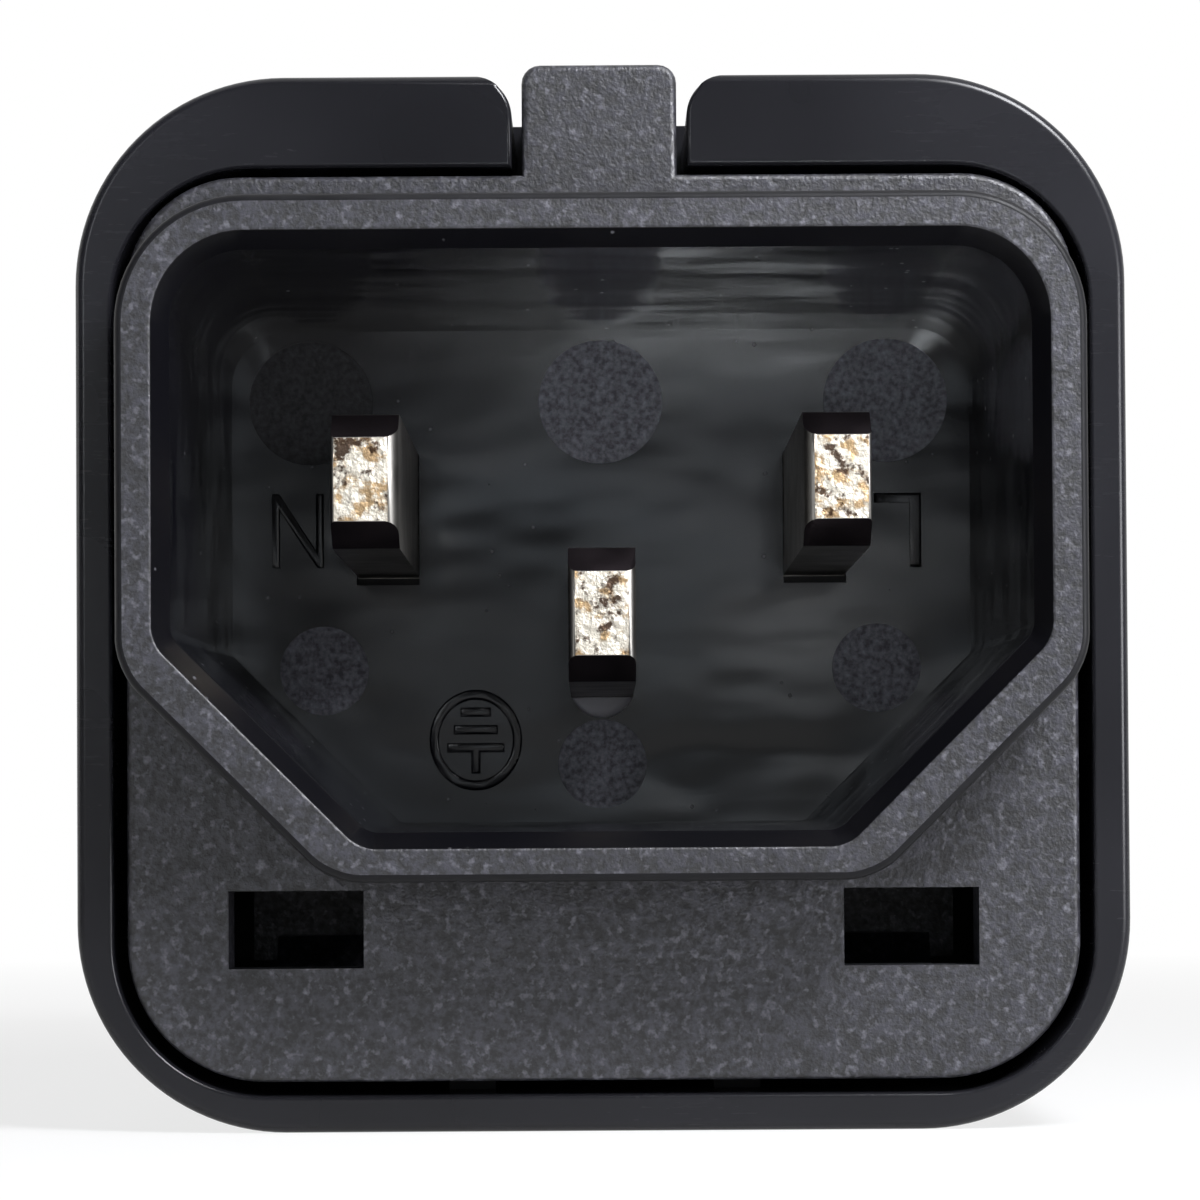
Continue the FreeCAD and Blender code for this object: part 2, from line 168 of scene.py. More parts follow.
class Graph:
    """Lays out shader nodes in a tree."""

    MIX_NUMBERS = (0, 2, 3)  # the places of a mix node's share and two numbers
    MIX_COLOURS = (0, 6, 7)  # the places of its share and two colours
    MIXED_COLOUR = 2  # the place of its mixed colour

    def __init__(self, tree: bpy.types.NodeTree) -> None:
        """Takes the tree that the nodes go in."""
        self.tree = tree

    def node(self, kind: str, inputs: dict | None = None, **settings: object) -> bpy.types.Node:
        """Adds a node.

        Args:
            kind: The node's type.
            inputs: For each input, the value that it holds or the output that feeds it.
            settings: The node's own settings.

        Returns:
            The new node.
        """
        made = self.tree.nodes.new(kind)
        for name, value in settings.items():
            setattr(made, name, value)
        for name, value in (inputs or {}).items():
            self.feed(made.inputs[name], value)
        return made

    def feed(self, socket: Socket, value: object) -> None:
        """Links an output to a socket, or sets the socket's value.

        Args:
            socket: The socket.
            value: The output or the value.
        """
        if isinstance(value, Socket):
            self.tree.links.new(value, socket)
        else:
            socket.default_value = value

    def spread(self, source: Socket, ramp: Ramp, **settings: object) -> Socket:
        """Maps a value by a ramp.

        Args:
            source: The value.
            ramp: The ramp.
            settings: The node's own settings.

        Returns:
            The mapped value.
        """
        inputs = {"Value": source, "From Min": ramp.come[0], "From Max": ramp.come[1],
                  "To Min": ramp.go[0], "To Max": ramp.go[1]}
        return self.node("ShaderNodeMapRange", inputs, clamp=True, **settings).outputs[0]

    def sum(self, first: object, second: object, how: Operation = Operation.PLUS) -> Socket:
        """Works out a sum of two values, each a number or an output."""
        return self.node("ShaderNodeMath", {0: first, 1: second}, operation=how.value).outputs[0]

    def times(self, first: object, second: object) -> Socket:
        """Multiplies two values."""
        return self.sum(first, second, Operation.TIMES)

    def balance(self, share: object, first: object, second: object) -> Socket:
        """Blends two numbers by the share of the second."""
        inputs = dict(zip(self.MIX_NUMBERS, (share, first, second)))
        return self.node("ShaderNodeMix", inputs).outputs[0]

    def blend(self, share: object, first: object, second: object) -> Socket:
        """Blends two colours by the share of the second."""
        inputs = dict(zip(self.MIX_COLOURS, (share, first, second)))
        return self.node("ShaderNodeMix", inputs, data_type="RGBA").outputs[self.MIXED_COLOUR]

    def light_path(self) -> tuple[Socket, Socket]:
        """Tells camera rays, and rays that a shiny or clear surface sends on, from the rest.

        Returns:
            1 on a camera ray and 0 on any other, and the same for a ray that is sent on.
        """
        path = self.node("ShaderNodeLightPath").outputs
        mirrored = self.sum(path["Is Glossy Ray"], path["Is Transmission Ray"], Operation.LARGER)
        return path["Is Camera Ray"], mirrored


class Recipe(Graph):
    """Lays out the nodes of one material, which lie in the object's own coordinates."""

    def __init__(self, name: str) -> None:
        """Starts a material with one shader.

        Args:
            name: The material's name.
        """
        self.material = bpy.data.materials.new(name)
        self.material.use_nodes = True
        super().__init__(self.material.node_tree)
        self.shader = self.tree.nodes["Principled BSDF"]
        self.place = self.node("ShaderNodeTexCoord").outputs["Object"]

    def noise(self, pattern: Pattern) -> Socket:
        """Adds a noise over the object.

        Args:
            pattern: The noise.

        Returns:
            Its value, from 0 to 1.
        """
        placed = self.node("ShaderNodeMapping", {"Vector": self.place, "Location": pattern.shift,
                                                 "Scale": pattern.stretch})
        detail, roughness = pattern.grain.value
        inputs = {"Vector": placed.outputs[0], "Scale": pattern.per_metre, "Detail": detail,
                  "Roughness": roughness}
        return self.node("ShaderNodeTexNoise", inputs).outputs[0]

    def cells(self, per_metre: float) -> Socket:
        """Adds a cell pattern: the distance to the nearest cell's middle."""
        inputs = {"Vector": self.place, "Scale": per_metre}
        return self.node("ShaderNodeTexVoronoi", inputs).outputs["Distance"]

    def bump(self, height: Socket, relief: Relief,
             under: Socket | None = None) -> Socket:
        """Turns a height into a surface normal.

        Args:
            height: The height, from 0 to 1.
            relief: How far 0 lies below 1, in metres, and how much of it shows.
            under: The normal that it lies on.

        Returns:
            The normal.
        """
        inputs = {"Height": height, "Distance": relief[0], "Strength": relief[1]}
        if under is not None:
            inputs["Normal"] = under
        return self.node("ShaderNodeBump", inputs).outputs[0]

    def serve(self, **values: object) -> bpy.types.Material:
        """Sets the shader's inputs.

        Args:
            values: The inputs, each named in lower case with underscores.

        Returns:
            The material.
        """
        for name, value in values.items():
            label = name.replace("_", " ").title().replace("Ior", "IOR")
            self.feed(self.shader.inputs[label], value)
        return self.material


def grey(level: float, blue: float = 0.0) -> Colour:
    """A near-grey colour from a display level of 0 to 255.

    Args:
        level: How light it is.
        blue: How far it leans to blue.

    Returns:
        The colour as a shader takes it.
    """
    shares = [min(max(value / BRIGHTEST, 0.0), 1.0) for value in (level, level, level * (1 + blue))]
    light = [share / TOE_SLOPE if share <= TOE
             else ((share + CURVE_START) / (1 + CURVE_START)) ** CURVE_POWER for share in shares]
    return (*light, 1.0)


@dataclass(frozen=True)
class Finish:
    """What every finish has: a name, and a material that is made once."""

    name: str

    def material(self) -> bpy.types.Material:
        """Gives the finish's material, and makes it the first time."""
        return bpy.data.materials.get(self.name) or self.make()

    def make(self) -> bpy.types.Material:
        """Makes the material. Each kind of finish has its own."""
        raise NotImplementedError


@dataclass(frozen=True)
class SparkedPlastic(Finish):
    """Black plastic from a spark-eroded mould: a leathery, dull grain, with light flecks as painted
    glints.
    """

    name: str = "sparked_plastic"
    dark: Colour = grey(12.0, 0.3)
    light: Colour = grey(50.0, 0.16)
    # light colour of the flecks: painted glints
    painted_glint_colour: Colour = grey(102.0, 0.08)
    coarse: Pattern = Pattern(4800.0, Grain.LEATHERY)
    fine: Pattern = Pattern(11520.0, Grain.FAINT, shift=(0.3, 0.1, 0.7))
    clumps: Pattern = Pattern(1440.0, shift=(0.1, 0.6, 0.2))
    patches: Pattern = Pattern(160.0)
    glint_spots: Pattern = Pattern(3600.0, Grain.CRISP, shift=(0.7, 0.2, 0.4))
    fine_share: float = 0.35
    clump_share: float = 0.5
    peaks: Ramp = Ramp((0.62, 0.92))
    worn: Ramp = Ramp((0.35, 0.7), (0.75, 1.0))
    painted_glints: Ramp = Ramp((0.56, 0.78), (0.0, 0.75))
    rough: Ramp = Ramp((0.35, 0.7), (0.58, 0.38))
    specular: float = 0.8
    relief: Relief = (4.0e-5, 0.9)

    def make(self) -> bpy.types.Material:
        """Makes the grained plastic.

        Returns:
            The material.
        """
        recipe = Recipe(self.name)
        coarse = recipe.noise(self.coarse)
        fine = recipe.times(recipe.noise(self.fine), self.fine_share)
        clumps = recipe.times(recipe.noise(self.clumps), self.clump_share)
        peaks = recipe.spread(recipe.sum(coarse, clumps), self.peaks)
        worn = recipe.spread(recipe.noise(self.patches), self.worn)
        ground = recipe.blend(recipe.times(peaks, worn), self.dark, self.light)
        # The flecks are painted glints: light spots in the colour that stand in for the grain's
        # sparkle.
        painted_glints = recipe.spread(recipe.noise(self.glint_spots), self.painted_glints)
        return recipe.serve(base_color=recipe.blend(painted_glints, ground, self.painted_glint_colour),
                            roughness=recipe.spread(coarse, self.rough),
                            specular_ior_level=self.specular,
                            normal=recipe.bump(recipe.sum(coarse, fine), self.relief))


@dataclass(frozen=True)
class SmoothEdgePaintedShade(Finish):
    """The same black plastic without the grain, on the shroud's sides and outer edge; darker, as
    painted shade.
    """

    name: str = "smooth_edge_painted_shade"
    dark: Colour = grey(10.0, 0.2)
    light: Colour = grey(20.0, 0.2)
    cloud: Pattern = Pattern(900.0)
    fine: Pattern = Pattern(5000.0)
    rough: Ramp = Ramp((0.3, 0.7), (0.4, 0.52))
    specular: float = 0.25
    relief: Relief = (4e-6, 0.6)

    def make(self) -> bpy.types.Material:
        """Makes the smooth edge's plastic.

        Returns:
            The material.
        """
        recipe = Recipe(self.name)
        cloud = recipe.noise(self.cloud)
        return recipe.serve(base_color=recipe.blend(cloud, self.dark, self.light),
                            roughness=recipe.spread(cloud, self.rough),
                            specular_ior_level=self.specular,
                            normal=recipe.bump(recipe.noise(self.fine), self.relief))


@dataclass(frozen=True)
class GlossPlastic(Finish):
    """Black plastic with a soft polish, a faint unevenness and hairline scratches."""

    name: str = "gloss_plastic"
    dark: Colour = grey(23.0, 0.14)
    light: Colour = grey(30.0, 0.14)
    broad: Pattern = Pattern(90.0)
    fine: Pattern = Pattern(9000.0, Grain.CRISP)
    scratches: Pattern = Pattern(700.0, Grain.SCRATCHED, (1.0, 1.0, 9.0), (0.4, 0.2, 0.0))
    shade: Ramp = Ramp((0.35, 0.7))
    rough: Ramp = Ramp((0.3, 0.7), (0.20, 0.29))
    scuffed: Ramp = Ramp((0.55, 0.75), (0.0, 0.03))
    specular: float = 0.35
    ripple: Relief = (6e-5, 0.35)
    skin: Relief = (1.6e-6, 0.8)
    scratch: Relief = (1.5e-6, 0.5)

    def make(self) -> bpy.types.Material:
        """Makes the polished plastic.

        Returns:
            The material.
        """
        recipe = Recipe(self.name)
        broad, scratches = recipe.noise(self.broad), recipe.noise(self.scratches)
        rough = recipe.sum(recipe.spread(broad, self.rough), recipe.spread(scratches, self.scuffed))
        skin = recipe.bump(recipe.noise(self.fine), self.skin, recipe.bump(broad, self.ripple))
        colour = recipe.blend(recipe.spread(broad, self.shade), self.dark, self.light)
        return recipe.serve(base_color=colour, roughness=rough, specular_ior_level=self.specular,
                            normal=recipe.bump(scratches, self.scratch, skin))


@dataclass(frozen=True)
class CavityPlastic(Finish):
    """Black plastic from a polished core: glossy, a little wavy, with dust in it."""

    name: str = "cavity_plastic"
    base: Colour = grey(12.0, 0.5)
    dusty: Colour = grey(120.0, 0.04)
    waves: Pattern = Pattern(250.0, Grain.SOFT, (0.45, 1.0, 1.0), (0.01, 0.0, 0.004))
    fine: Pattern = Pattern(8000.0, Grain.CRISP)
    gaps: Pattern = Pattern(500.0, Grain.FAINT, shift=(0.2, 0.2, 0.2))
    specks_per_metre: float = 1300.0
    speck: Ramp = Ramp((0.05, 0.1), (1.0, 0.0))
    thinned: Ramp = Ramp((0.5, 0.6))
    dust_share: float = 0.5
    rough: Ramp = Ramp((0.3, 0.7), (0.13, 0.23))
    dust_rough: float = 0.5
    specular: float = 0.5
    swell: Relief = (3.2e-4, 0.5)
    skin: Relief = (1.2e-6, 0.7)

    def make(self) -> bpy.types.Material:
        """Makes the glossy plastic of the cavity.

        Returns:
            The material.
        """
        recipe = Recipe(self.name)
        waves = recipe.noise(self.waves)
        specks = recipe.spread(recipe.cells(self.specks_per_metre), self.speck)
        few = recipe.times(specks, recipe.spread(recipe.noise(self.gaps), self.thinned))
        dust = recipe.times(few, self.dust_share)
        rough = recipe.sum(recipe.spread(waves, self.rough), recipe.times(dust, self.dust_rough))
        return recipe.serve(base_color=recipe.blend(dust, self.base, self.dusty), roughness=rough,
                            specular_ior_level=self.specular,
                            normal=recipe.bump(recipe.noise(self.fine), self.skin,
                                               recipe.bump(waves, self.swell)))


@dataclass(frozen=True)
class LipPaintedHighlight(CavityPlastic):
    """The cavity's plastic painted pale: a painted highlight on the lip under the earth pin."""

    name: str = "lip_painted_highlight"
    base: Colour = grey(150.0, 0.04)
    rough: Ramp = Ramp((0.3, 0.7), (0.4, 0.5))


@dataclass(frozen=True)
class FlarePlasticPaintedShade(CavityPlastic):
    """The cavity's plastic at its flared edge: rougher, and darker as painted shade."""

    name: str = "flare_plastic_painted_shade"
    base: Colour = grey(8.0, 0.5)
    rough: Ramp = Ramp((0.3, 0.7), (0.28, 0.38))
    specular: float = 0.2


@dataclass(frozen=True)
class EjectorMark(Finish):
    """The dull round face that an ejector leaves on the cavity's floor."""

    name: str = "ejector_mark"
    dark: Colour = grey(66.0, 0.1)
    light: Colour = grey(130.0, 0.08)
    grain: Pattern = Pattern(5200.0, Grain.RICH)
    shade: Ramp = Ramp((0.34, 0.74))
    roughness: float = 0.5
    specular: float = 0.4
    relief: Relief = (2.4e-5, 0.9)

    def make(self) -> bpy.types.Material:
        """Makes the dull face of the mark.

        Returns:
            The material.
        """
        recipe = Recipe(self.name)
        grain = recipe.noise(self.grain)
        colour = recipe.blend(recipe.spread(grain, self.shade), self.dark, self.light)
        return recipe.serve(base_color=colour, roughness=self.roughness,
                            specular_ior_level=self.specular,
                            normal=recipe.bump(grain, self.relief))


@dataclass(frozen=True)
class EjectorMarkPaintedShade(EjectorMark):
    """A darker copy of the ejector mark, for the mark that lies in shade: painted shade."""

    name: str = "ejector_mark_painted_shade"
    dark: Colour = grey(16.0, 0.1)
    light: Colour = grey(52.0, 0.08)


@dataclass(frozen=True)
class PlatedMetal(Finish):
    """Nickel plate on a rolled strip: dulled, with fine lines along the blade."""

    name: str = "plated_metal"
    bright: Colour = (0.38, 0.365, 0.34, 1.0)
    dull: Colour = (0.304, 0.292, 0.272, 1.0)
    cloud: Pattern = Pattern(700.0)
    lines: Pattern = Pattern(9000.0, Grain.CRISP, (1.0, 0.03, 1.0))
    shade: Ramp = Ramp((0.35, 0.7))
    rough: Ramp = Ramp((0.3, 0.7), (0.31, 0.46))
    relief: Relief = (7e-6, 0.8)

    def make(self) -> bpy.types.Material:
        """Makes the plated metal.

        Returns:
            The material.
        """
        recipe = Recipe(self.name)
        cloud = recipe.noise(self.cloud)
        colour = recipe.blend(recipe.spread(cloud, self.shade), self.bright, self.dull)
        return recipe.serve(base_color=colour, roughness=recipe.spread(cloud, self.rough),
                            metallic=1.0,
                            normal=recipe.bump(recipe.noise(self.lines), self.relief))


@dataclass(frozen=True)
class ChamferMetalPaintedShade(PlatedMetal):
    """The plating on the blade's coined chamfers, rougher and near black: painted shade."""

    name: str = "chamfer_metal_painted_shade"
    bright: Colour = (0.055, 0.045, 0.05, 1.0)
    dull: Colour = (0.044, 0.036, 0.04, 1.0)
    rough: Ramp = Ramp((0.3, 0.7), (0.35, 0.5))


@dataclass(frozen=True)
class ShearedTip(Finish):
    """The bare end of a blade where the strip was cut: crinkled, torn, with brass showing; the
    tears are dark with painted shade.
    """

    name: str = "sheared_tip"
    bright: Colour = (0.88, 0.82, 0.71, 1.0)
    brass: Colour = (0.50, 0.33, 0.16, 1.0)
    tear_shade: Colour = (0.07, 0.04, 0.025, 1.0)
    crinkles: Pattern = Pattern(2600.0, Grain.RICH)
    patches: Pattern = Pattern(1700.0, Grain.PATCHY, shift=(0.5, 0.0, 0.3))
    tears: Pattern = Pattern(1500.0, Grain.RAGGED, shift=(0.9, 0.2, 0.6))
    brassy: Ramp = Ramp((0.49, 0.60), (0.0, 0.9))
    deep: Ramp = Ramp((0.515, 0.60), (0.0, 0.96))
    roughness: float = 0.5
    relief: Relief = (1.3e-4, 0.9)

    def make(self) -> bpy.types.Material:
        """Makes the cut end.

        Returns:
            The material.
        """
        recipe = Recipe(self.name)
        brassy = recipe.spread(recipe.noise(self.patches), self.brassy)
        # Dark tear lines: torn metal, darkened as painted shade in the cracks.
        tear_shade = recipe.spread(recipe.noise(self.tears), self.deep)
        colour = recipe.blend(tear_shade, recipe.blend(brassy, self.bright, self.brass), self.tear_shade)
        return recipe.serve(base_color=colour, roughness=self.roughness, metallic=1.0,
                            normal=recipe.bump(recipe.noise(self.crinkles), self.relief))


@dataclass(frozen=True)
class StripBrass(Finish):
    """Rolled brass strip with a faint tarnish."""

    name: str = "strip_brass_sheet"
    bright: Colour = (0.80, 0.58, 0.28, 1.0)
    dull: Colour = (0.496, 0.319, 0.14, 1.0)
    rolled: Pattern = Pattern(6000.0, Grain.CRISP, (1.0, 0.05, 0.4))
    stains: Pattern = Pattern(420.0, Grain.RICH)
    tarnish: Ramp = Ramp((0.45, 0.7), (0.0, 0.7))
    rough: Ramp = Ramp((0.3, 0.7), (0.22, 0.36))
    tarnish_rough: float = 0.15
    relief: Relief = (2e-6, 0.6)

    def make(self) -> bpy.types.Material:
        """Makes the brass.

        Returns:
            The material.
        """
        recipe = Recipe(self.name)
        rolled = recipe.noise(self.rolled)
        tarnish = recipe.spread(recipe.noise(self.stains), self.tarnish)
        rough = recipe.sum(recipe.spread(rolled, self.rough),
                           recipe.times(tarnish, self.tarnish_rough))
        colour = recipe.blend(tarnish, self.bright, self.dull)
        return recipe.serve(base_color=colour, roughness=rough, metallic=1.0,
                            normal=recipe.bump(rolled, self.relief))


@dataclass(frozen=True)
class CarrierPlastic(Finish):
    """Plain matt insulating plastic, a shade lighter than the outside."""

    name: str = "carrier_plastic"
    dark: Colour = grey(38.0)
    light: Colour = grey(54.0)
    cloud: Pattern = Pattern(300.0, Grain.CLOUDY)
    fine: Pattern = Pattern(6500.0, Grain.CRISP)
    rough: Ramp = Ramp((0.3, 0.7), (0.5, 0.68))
    specular: float = 0.4
    relief: Relief = (6e-6, 0.8)

    def make(self) -> bpy.types.Material:
        """Makes the insulating plastic.

        Returns:
            The material.
        """
        recipe = Recipe(self.name)
        fine = recipe.noise(self.fine)
        colour = recipe.blend(recipe.noise(self.cloud), self.dark, self.light)
        return recipe.serve(base_color=colour, roughness=recipe.spread(fine, self.rough),
                            specular_ior_level=self.specular, normal=recipe.bump(fine, self.relief))


@dataclass(frozen=True)
class PaleFloor(Finish):
    """A white table that fades into the backdrop and keeps a faint shadow near the adapter."""

    name: str = "pale_floor"
    colour: Colour = (0.86, 0.86, 0.86, 1.0)
    roughness: float = 0.9
    specular: float = 0.1
    glow: Ramp = Ramp((0.03, 0.16), (0.78, 1.0))
    # Mirrored glow is dimmer in front of the adapter: painted shade in the floor's reflections.
    front: Ramp = Ramp((-0.06, 0.02), (0.45, 0.0))

    def make(self) -> bpy.types.Material:
        """Makes the floor: seen or mirrored it glows more and more with its distance; mirrored, it
        glows less in front, as painted shade in its reflections.

        Returns:
            The material.
        """
        recipe = Recipe(self.name)
        recipe.serve(base_color=self.colour, roughness=self.roughness,
                     specular_ior_level=self.specular)
        camera, mirrored = recipe.light_path()
        seen = recipe.sum(camera, mirrored, Operation.LARGER)
        measure = recipe.node("ShaderNodeVectorMath", {0: recipe.place}, operation="LENGTH")
        share = recipe.times(seen, recipe.spread(measure.outputs["Value"], self.glow))
        along = recipe.node("ShaderNodeSeparateXYZ", {0: recipe.place}).outputs["Y"]
        glow_with_painted_front_shade = recipe.sum(1.0, recipe.times(recipe.spread(along, self.front), mirrored),
                              Operation.LESS)
        glow = recipe.node("ShaderNodeEmission", {"Color": WHITE, "Strength": glow_with_painted_front_shade})
        mixed = recipe.node("ShaderNodeMixShader", {"Fac": share, 1: recipe.shader.outputs[0],
                                                    2: glow.outputs[0]})
        recipe.feed(recipe.tree.nodes["Material Output"].inputs["Surface"], mixed.outputs[0])
        return recipe.material


# ---- The bench ----
@dataclass(frozen=True)
class Round:
    """How an edge is rounded: its radius, and how many flats make it. One flat is a bevel."""

    radius: float
    flats: int = 4

    def grown(self, by: float) -> "Round":
        """The same round on an outline that is moved out."""
        return Round(self.radius + by, self.flats)


@dataclass(frozen=True)
class Pick:
    """Which edges or faces a step works on, by their place and by how sharp or turned they are."""

    along: Axis | None = None
    x: Span | None = None
    y: Span | None = None
    z: Span | None = None
    sharper_than: float = 0.0
    facing: Triple | None = None

    @classmethod
    def outline(cls, y: float, sharper_than: float = SQUARE) -> "Pick":
        """Picks the outline of the face that ends a piece along Y."""
        return cls(y=(y, y), sharper_than=sharper_than)

    @classmethod
    def corner(cls, z: float, sharper_than: float = SQUARE) -> "Pick":
        """Picks the corners along Y at a height."""
        return cls(along=Axis.Y, z=(z, z), sharper_than=sharper_than)

    @classmethod
    def end(cls, y: float, towards: float) -> "Pick":
        """Picks the face that ends a piece along Y, by the way that it faces."""
        return cls(y=(y, y), facing=(0.0, towards, 0.0))

    def holds(self, points: Sequence[Vector]) -> bool:
        """Tells whether points lie in the spans.

        Args:
            points: The points.

        Returns:
            Whether all of them do.
        """
        for axis, span in enumerate((self.x, self.y, self.z)):
            if span is not None:
                low, high = span[0] - SAME_PLACE, span[1] + SAME_PLACE
                if any(not low <= point[axis] <= high for point in points):
                    return False
        return True

    def takes_edge(self, edge: bmesh.types.BMEdge) -> bool:
        """Tells whether an edge is picked.

        Args:
            edge: The edge.

        Returns:
            Whether it is.
        """
        if len(edge.link_faces) != 2 or math.degrees(edge.calc_face_angle(0.0)) < self.sharper_than:
            return False
        run = edge.verts[1].co - edge.verts[0].co
        if self.along is not None and abs(run[self.along.value]) < STRAIGHT * run.length:
            return False
        return self.holds([vertex.co for vertex in edge.verts])

    def takes_face(self, face: bmesh.types.BMFace) -> bool:
        """Tells whether a face is picked.

        Args:
            face: The face.

        Returns:
            Whether it is.
        """
        if self.facing is not None and face.normal.dot(Vector(self.facing)) < SAME_WAY:
            return False
        return self.holds([vertex.co for vertex in face.verts])


def clear_selection() -> None:
    """Leaves edit mode, if it is on, and deselects everything."""
    if bpy.context.mode != "OBJECT":
        bpy.ops.object.mode_set(mode="OBJECT")
    bpy.ops.object.select_all(action="DESELECT")


class Workpiece:
    """A piece on the bench, shaped in millimetres."""

    CAPITAL = 0.7  # how tall a capital letter is, as a share of its size
    HEAVIER = 0.004  # how far a letter's outline moves out, as a share of its height

    def __init__(self, shape: bpy.types.Object, name: str, finish: Finish) -> None:
        """Takes a new primitive onto the bench.

        Args:
            shape: The primitive, which holds its place and size in its object.
            name: The name of the piece.
            finish: The finish of its faces.
        """
        self.shape = shape
        self.shape.name = name
        self.shape.data.name = name
        self.apply_place()
        self.shape.data.materials.clear()
        self.shape.data.materials.append(finish.material())

    @classmethod
    def block(cls, name: str, x: Span, y: Span, z: Span, finish: Finish) -> "Workpiece":
        """Starts from a block.

        Args:
            name: The name of the piece.
            x: Where it starts and ends across.
            y: Where it starts and ends along.
            z: Where it starts and ends upwards.
            finish: The finish of its faces.

        Returns:
            The workpiece.
        """
        clear_selection()
        middle = [(start + end) / 2 for start, end in (x, y, z)]
        size = [end - start for start, end in (x, y, z)]
        bpy.ops.mesh.primitive_cube_add(size=1.0, location=middle, scale=size)
        return cls(bpy.context.object, name, finish)

    @classmethod
    def disc(cls, name: str, centre: Span, radius: float, y: Span, finish: Finish,
             sides: int = 64) -> "Workpiece":
        """Starts from a disc that faces along Y.

        Args:
            name: The name of the piece.
            centre: Its middle, across and up.
            radius: Its radius.
            y: Its two ends.
            finish: The finish of its faces.
            sides: How many sides it has.

        Returns:
            The workpiece.
        """
        clear_selection()
        place = (centre[0], (y[0] + y[1]) / 2, centre[1])
        bpy.ops.mesh.primitive_cylinder_add(vertices=sides, radius=radius, depth=y[1] - y[0],
                                            location=place, rotation=(math.pi / 2, 0.0, 0.0))
        return cls(bpy.context.object, name, finish)

    @classmethod
    def letter(cls, name: str, text: str, height: float, thickness: float,
               finish: Finish) -> "Workpiece":
        """Starts from a letter that faces -Y, with its middle at the origin.

        Args:
            name: The name of the piece.
            text: The letter.
            height: How tall it is.
            thickness: How thick it is.
            finish: The finish of its faces.

        Returns:
            The workpiece.
        """
        clear_selection()
        bpy.ops.object.text_add(rotation=(math.pi / 2, 0.0, 0.0))
        curve = bpy.context.object.data
        curve.body = text
        curve.size = height / cls.CAPITAL
        curve.extrude = thickness / 2
        curve.offset = cls.HEAVIER * height
        curve.align_x, curve.align_y = "CENTER", "CENTER"
        bpy.ops.object.convert(target="MESH")
        piece = cls(bpy.context.object, name, finish)
        with piece.open(Part.VERTEX, whole=True):
            bpy.ops.mesh.remove_doubles(threshold=MERGE)
            bpy.ops.mesh.normals_make_consistent(inside=False)
        return piece

    def take_up(self) -> None:
        """Makes this the only selected piece."""
        clear_selection()
        self.shape.select_set(True)
        bpy.context.view_layer.objects.active = self.shape

    def apply_place(self) -> None:
        """Moves the object's place, turn and scale into its mesh."""
        self.take_up()
        bpy.ops.object.transform_apply(location=True, rotation=True, scale=True)

    @contextmanager
    def open(self, part: Part = Part.EDGE, whole: bool = False) -> Iterator[bmesh.types.BMesh]:
        """Opens the piece in edit mode.

        Args:
            part: What is selected in it.
            whole: Whether all of it is selected, or nothing.

        Yields:
            The mesh, to pick from.
        """
        self.take_up()
        bpy.ops.object.mode_set(mode="EDIT")
        bpy.ops.mesh.select_mode(type=part.value)
        bpy.ops.mesh.select_all(action="SELECT" if whole else "DESELECT")
        yield bmesh.from_edit_mesh(self.shape.data)
        bpy.ops.object.mode_set(mode="OBJECT")

    def select(self, mesh: bmesh.types.BMesh, part: Part, pick: Pick) -> list:
        """Selects edges or faces.

        Args:
            mesh: The open mesh.
            part: Whether edges or faces.
            pick: Which of them.

        Returns:
            What was selected.
        """
        parts, takes = ((mesh.edges, pick.takes_edge) if part is Part.EDGE
                        else (mesh.faces, pick.takes_face))
        picked = [element for element in parts if takes(element)]
        for element in picked:
            element.select_set(True)
        bmesh.update_edit_mesh(self.shape.data)
        if not picked:
            log.warning("%s: nothing picked by %s", self.shape.name, pick)
        return picked

    def round(self, pick: Pick, how: Round) -> "Workpiece":
        """Rounds the picked edges.

        Args:
            pick: The edges.
            how: Their radius and flats.

        Returns:
            The workpiece.
        """
        with self.open() as mesh:
            picked = self.select(mesh, Part.EDGE, pick)
            if picked:
                turn = sum(edge.calc_face_angle(0.0) for edge in picked) / len(picked)
                bpy.ops.mesh.bevel(offset=how.radius * math.tan(turn / 2), offset_type="OFFSET",
                                   segments=how.flats, profile=0.5, affect="EDGES",
                                   clamp_overlap=False, miter_outer="SHARP")
        return self

    def slice(self, point: Triple, outward: Triple) -> "Workpiece":
        """Cuts off what lies beyond a plane.

        Args:
            point: A point on the plane.
            outward: The direction of what goes.

        Returns:
            The workpiece.
        """
        with self.open(Part.FACE, whole=True):
            bpy.ops.mesh.bisect(plane_co=point, plane_no=outward, use_fill=True, clear_outer=True,
                                threshold=SAME_PLACE)
        return self

    def step_in(self, pick: Pick, inward: float, out: float) -> "Workpiece":
        """Narrows the piece towards a new end face.

        Args:
            pick: The end face.
            inward: How far its outline moves in.
            out: How far the face moves out.

        Returns:
            The workpiece.
        """
        with self.open(Part.FACE) as mesh:
            self.select(mesh, Part.FACE, pick)
            bpy.ops.mesh.inset(thickness=inward, depth=out, use_even_offset=True)
        return self

    def push(self, pick: Pick, move: Triple, scale: Triple | None = None) -> "Workpiece":
        """Extrudes the picked face, and can scale the new end about its own middle.

        Args:
            pick: The face.
            move: How far it goes.
            scale: The new end's scale.

        Returns:
            The workpiece.
        """
        with self.open(Part.FACE) as mesh:
            face, = self.select(mesh, Part.FACE, pick)
            middle = face.calc_center_bounds() + Vector(move)
            bpy.ops.mesh.extrude_region_move(TRANSFORM_OT_translate={"value": move})
            if scale is not None:
                bpy.ops.transform.resize(value=scale, center_override=middle)
        return self

    def slide(self, pick: Pick, move: Triple) -> "Workpiece":
        """Moves edges.

        Args:
            pick: The edges.
            move: How far they go.

        Returns:
            The workpiece.
        """
        with self.open() as mesh:
            self.select(mesh, Part.EDGE, pick)
            bpy.ops.transform.translate(value=move)
        return self

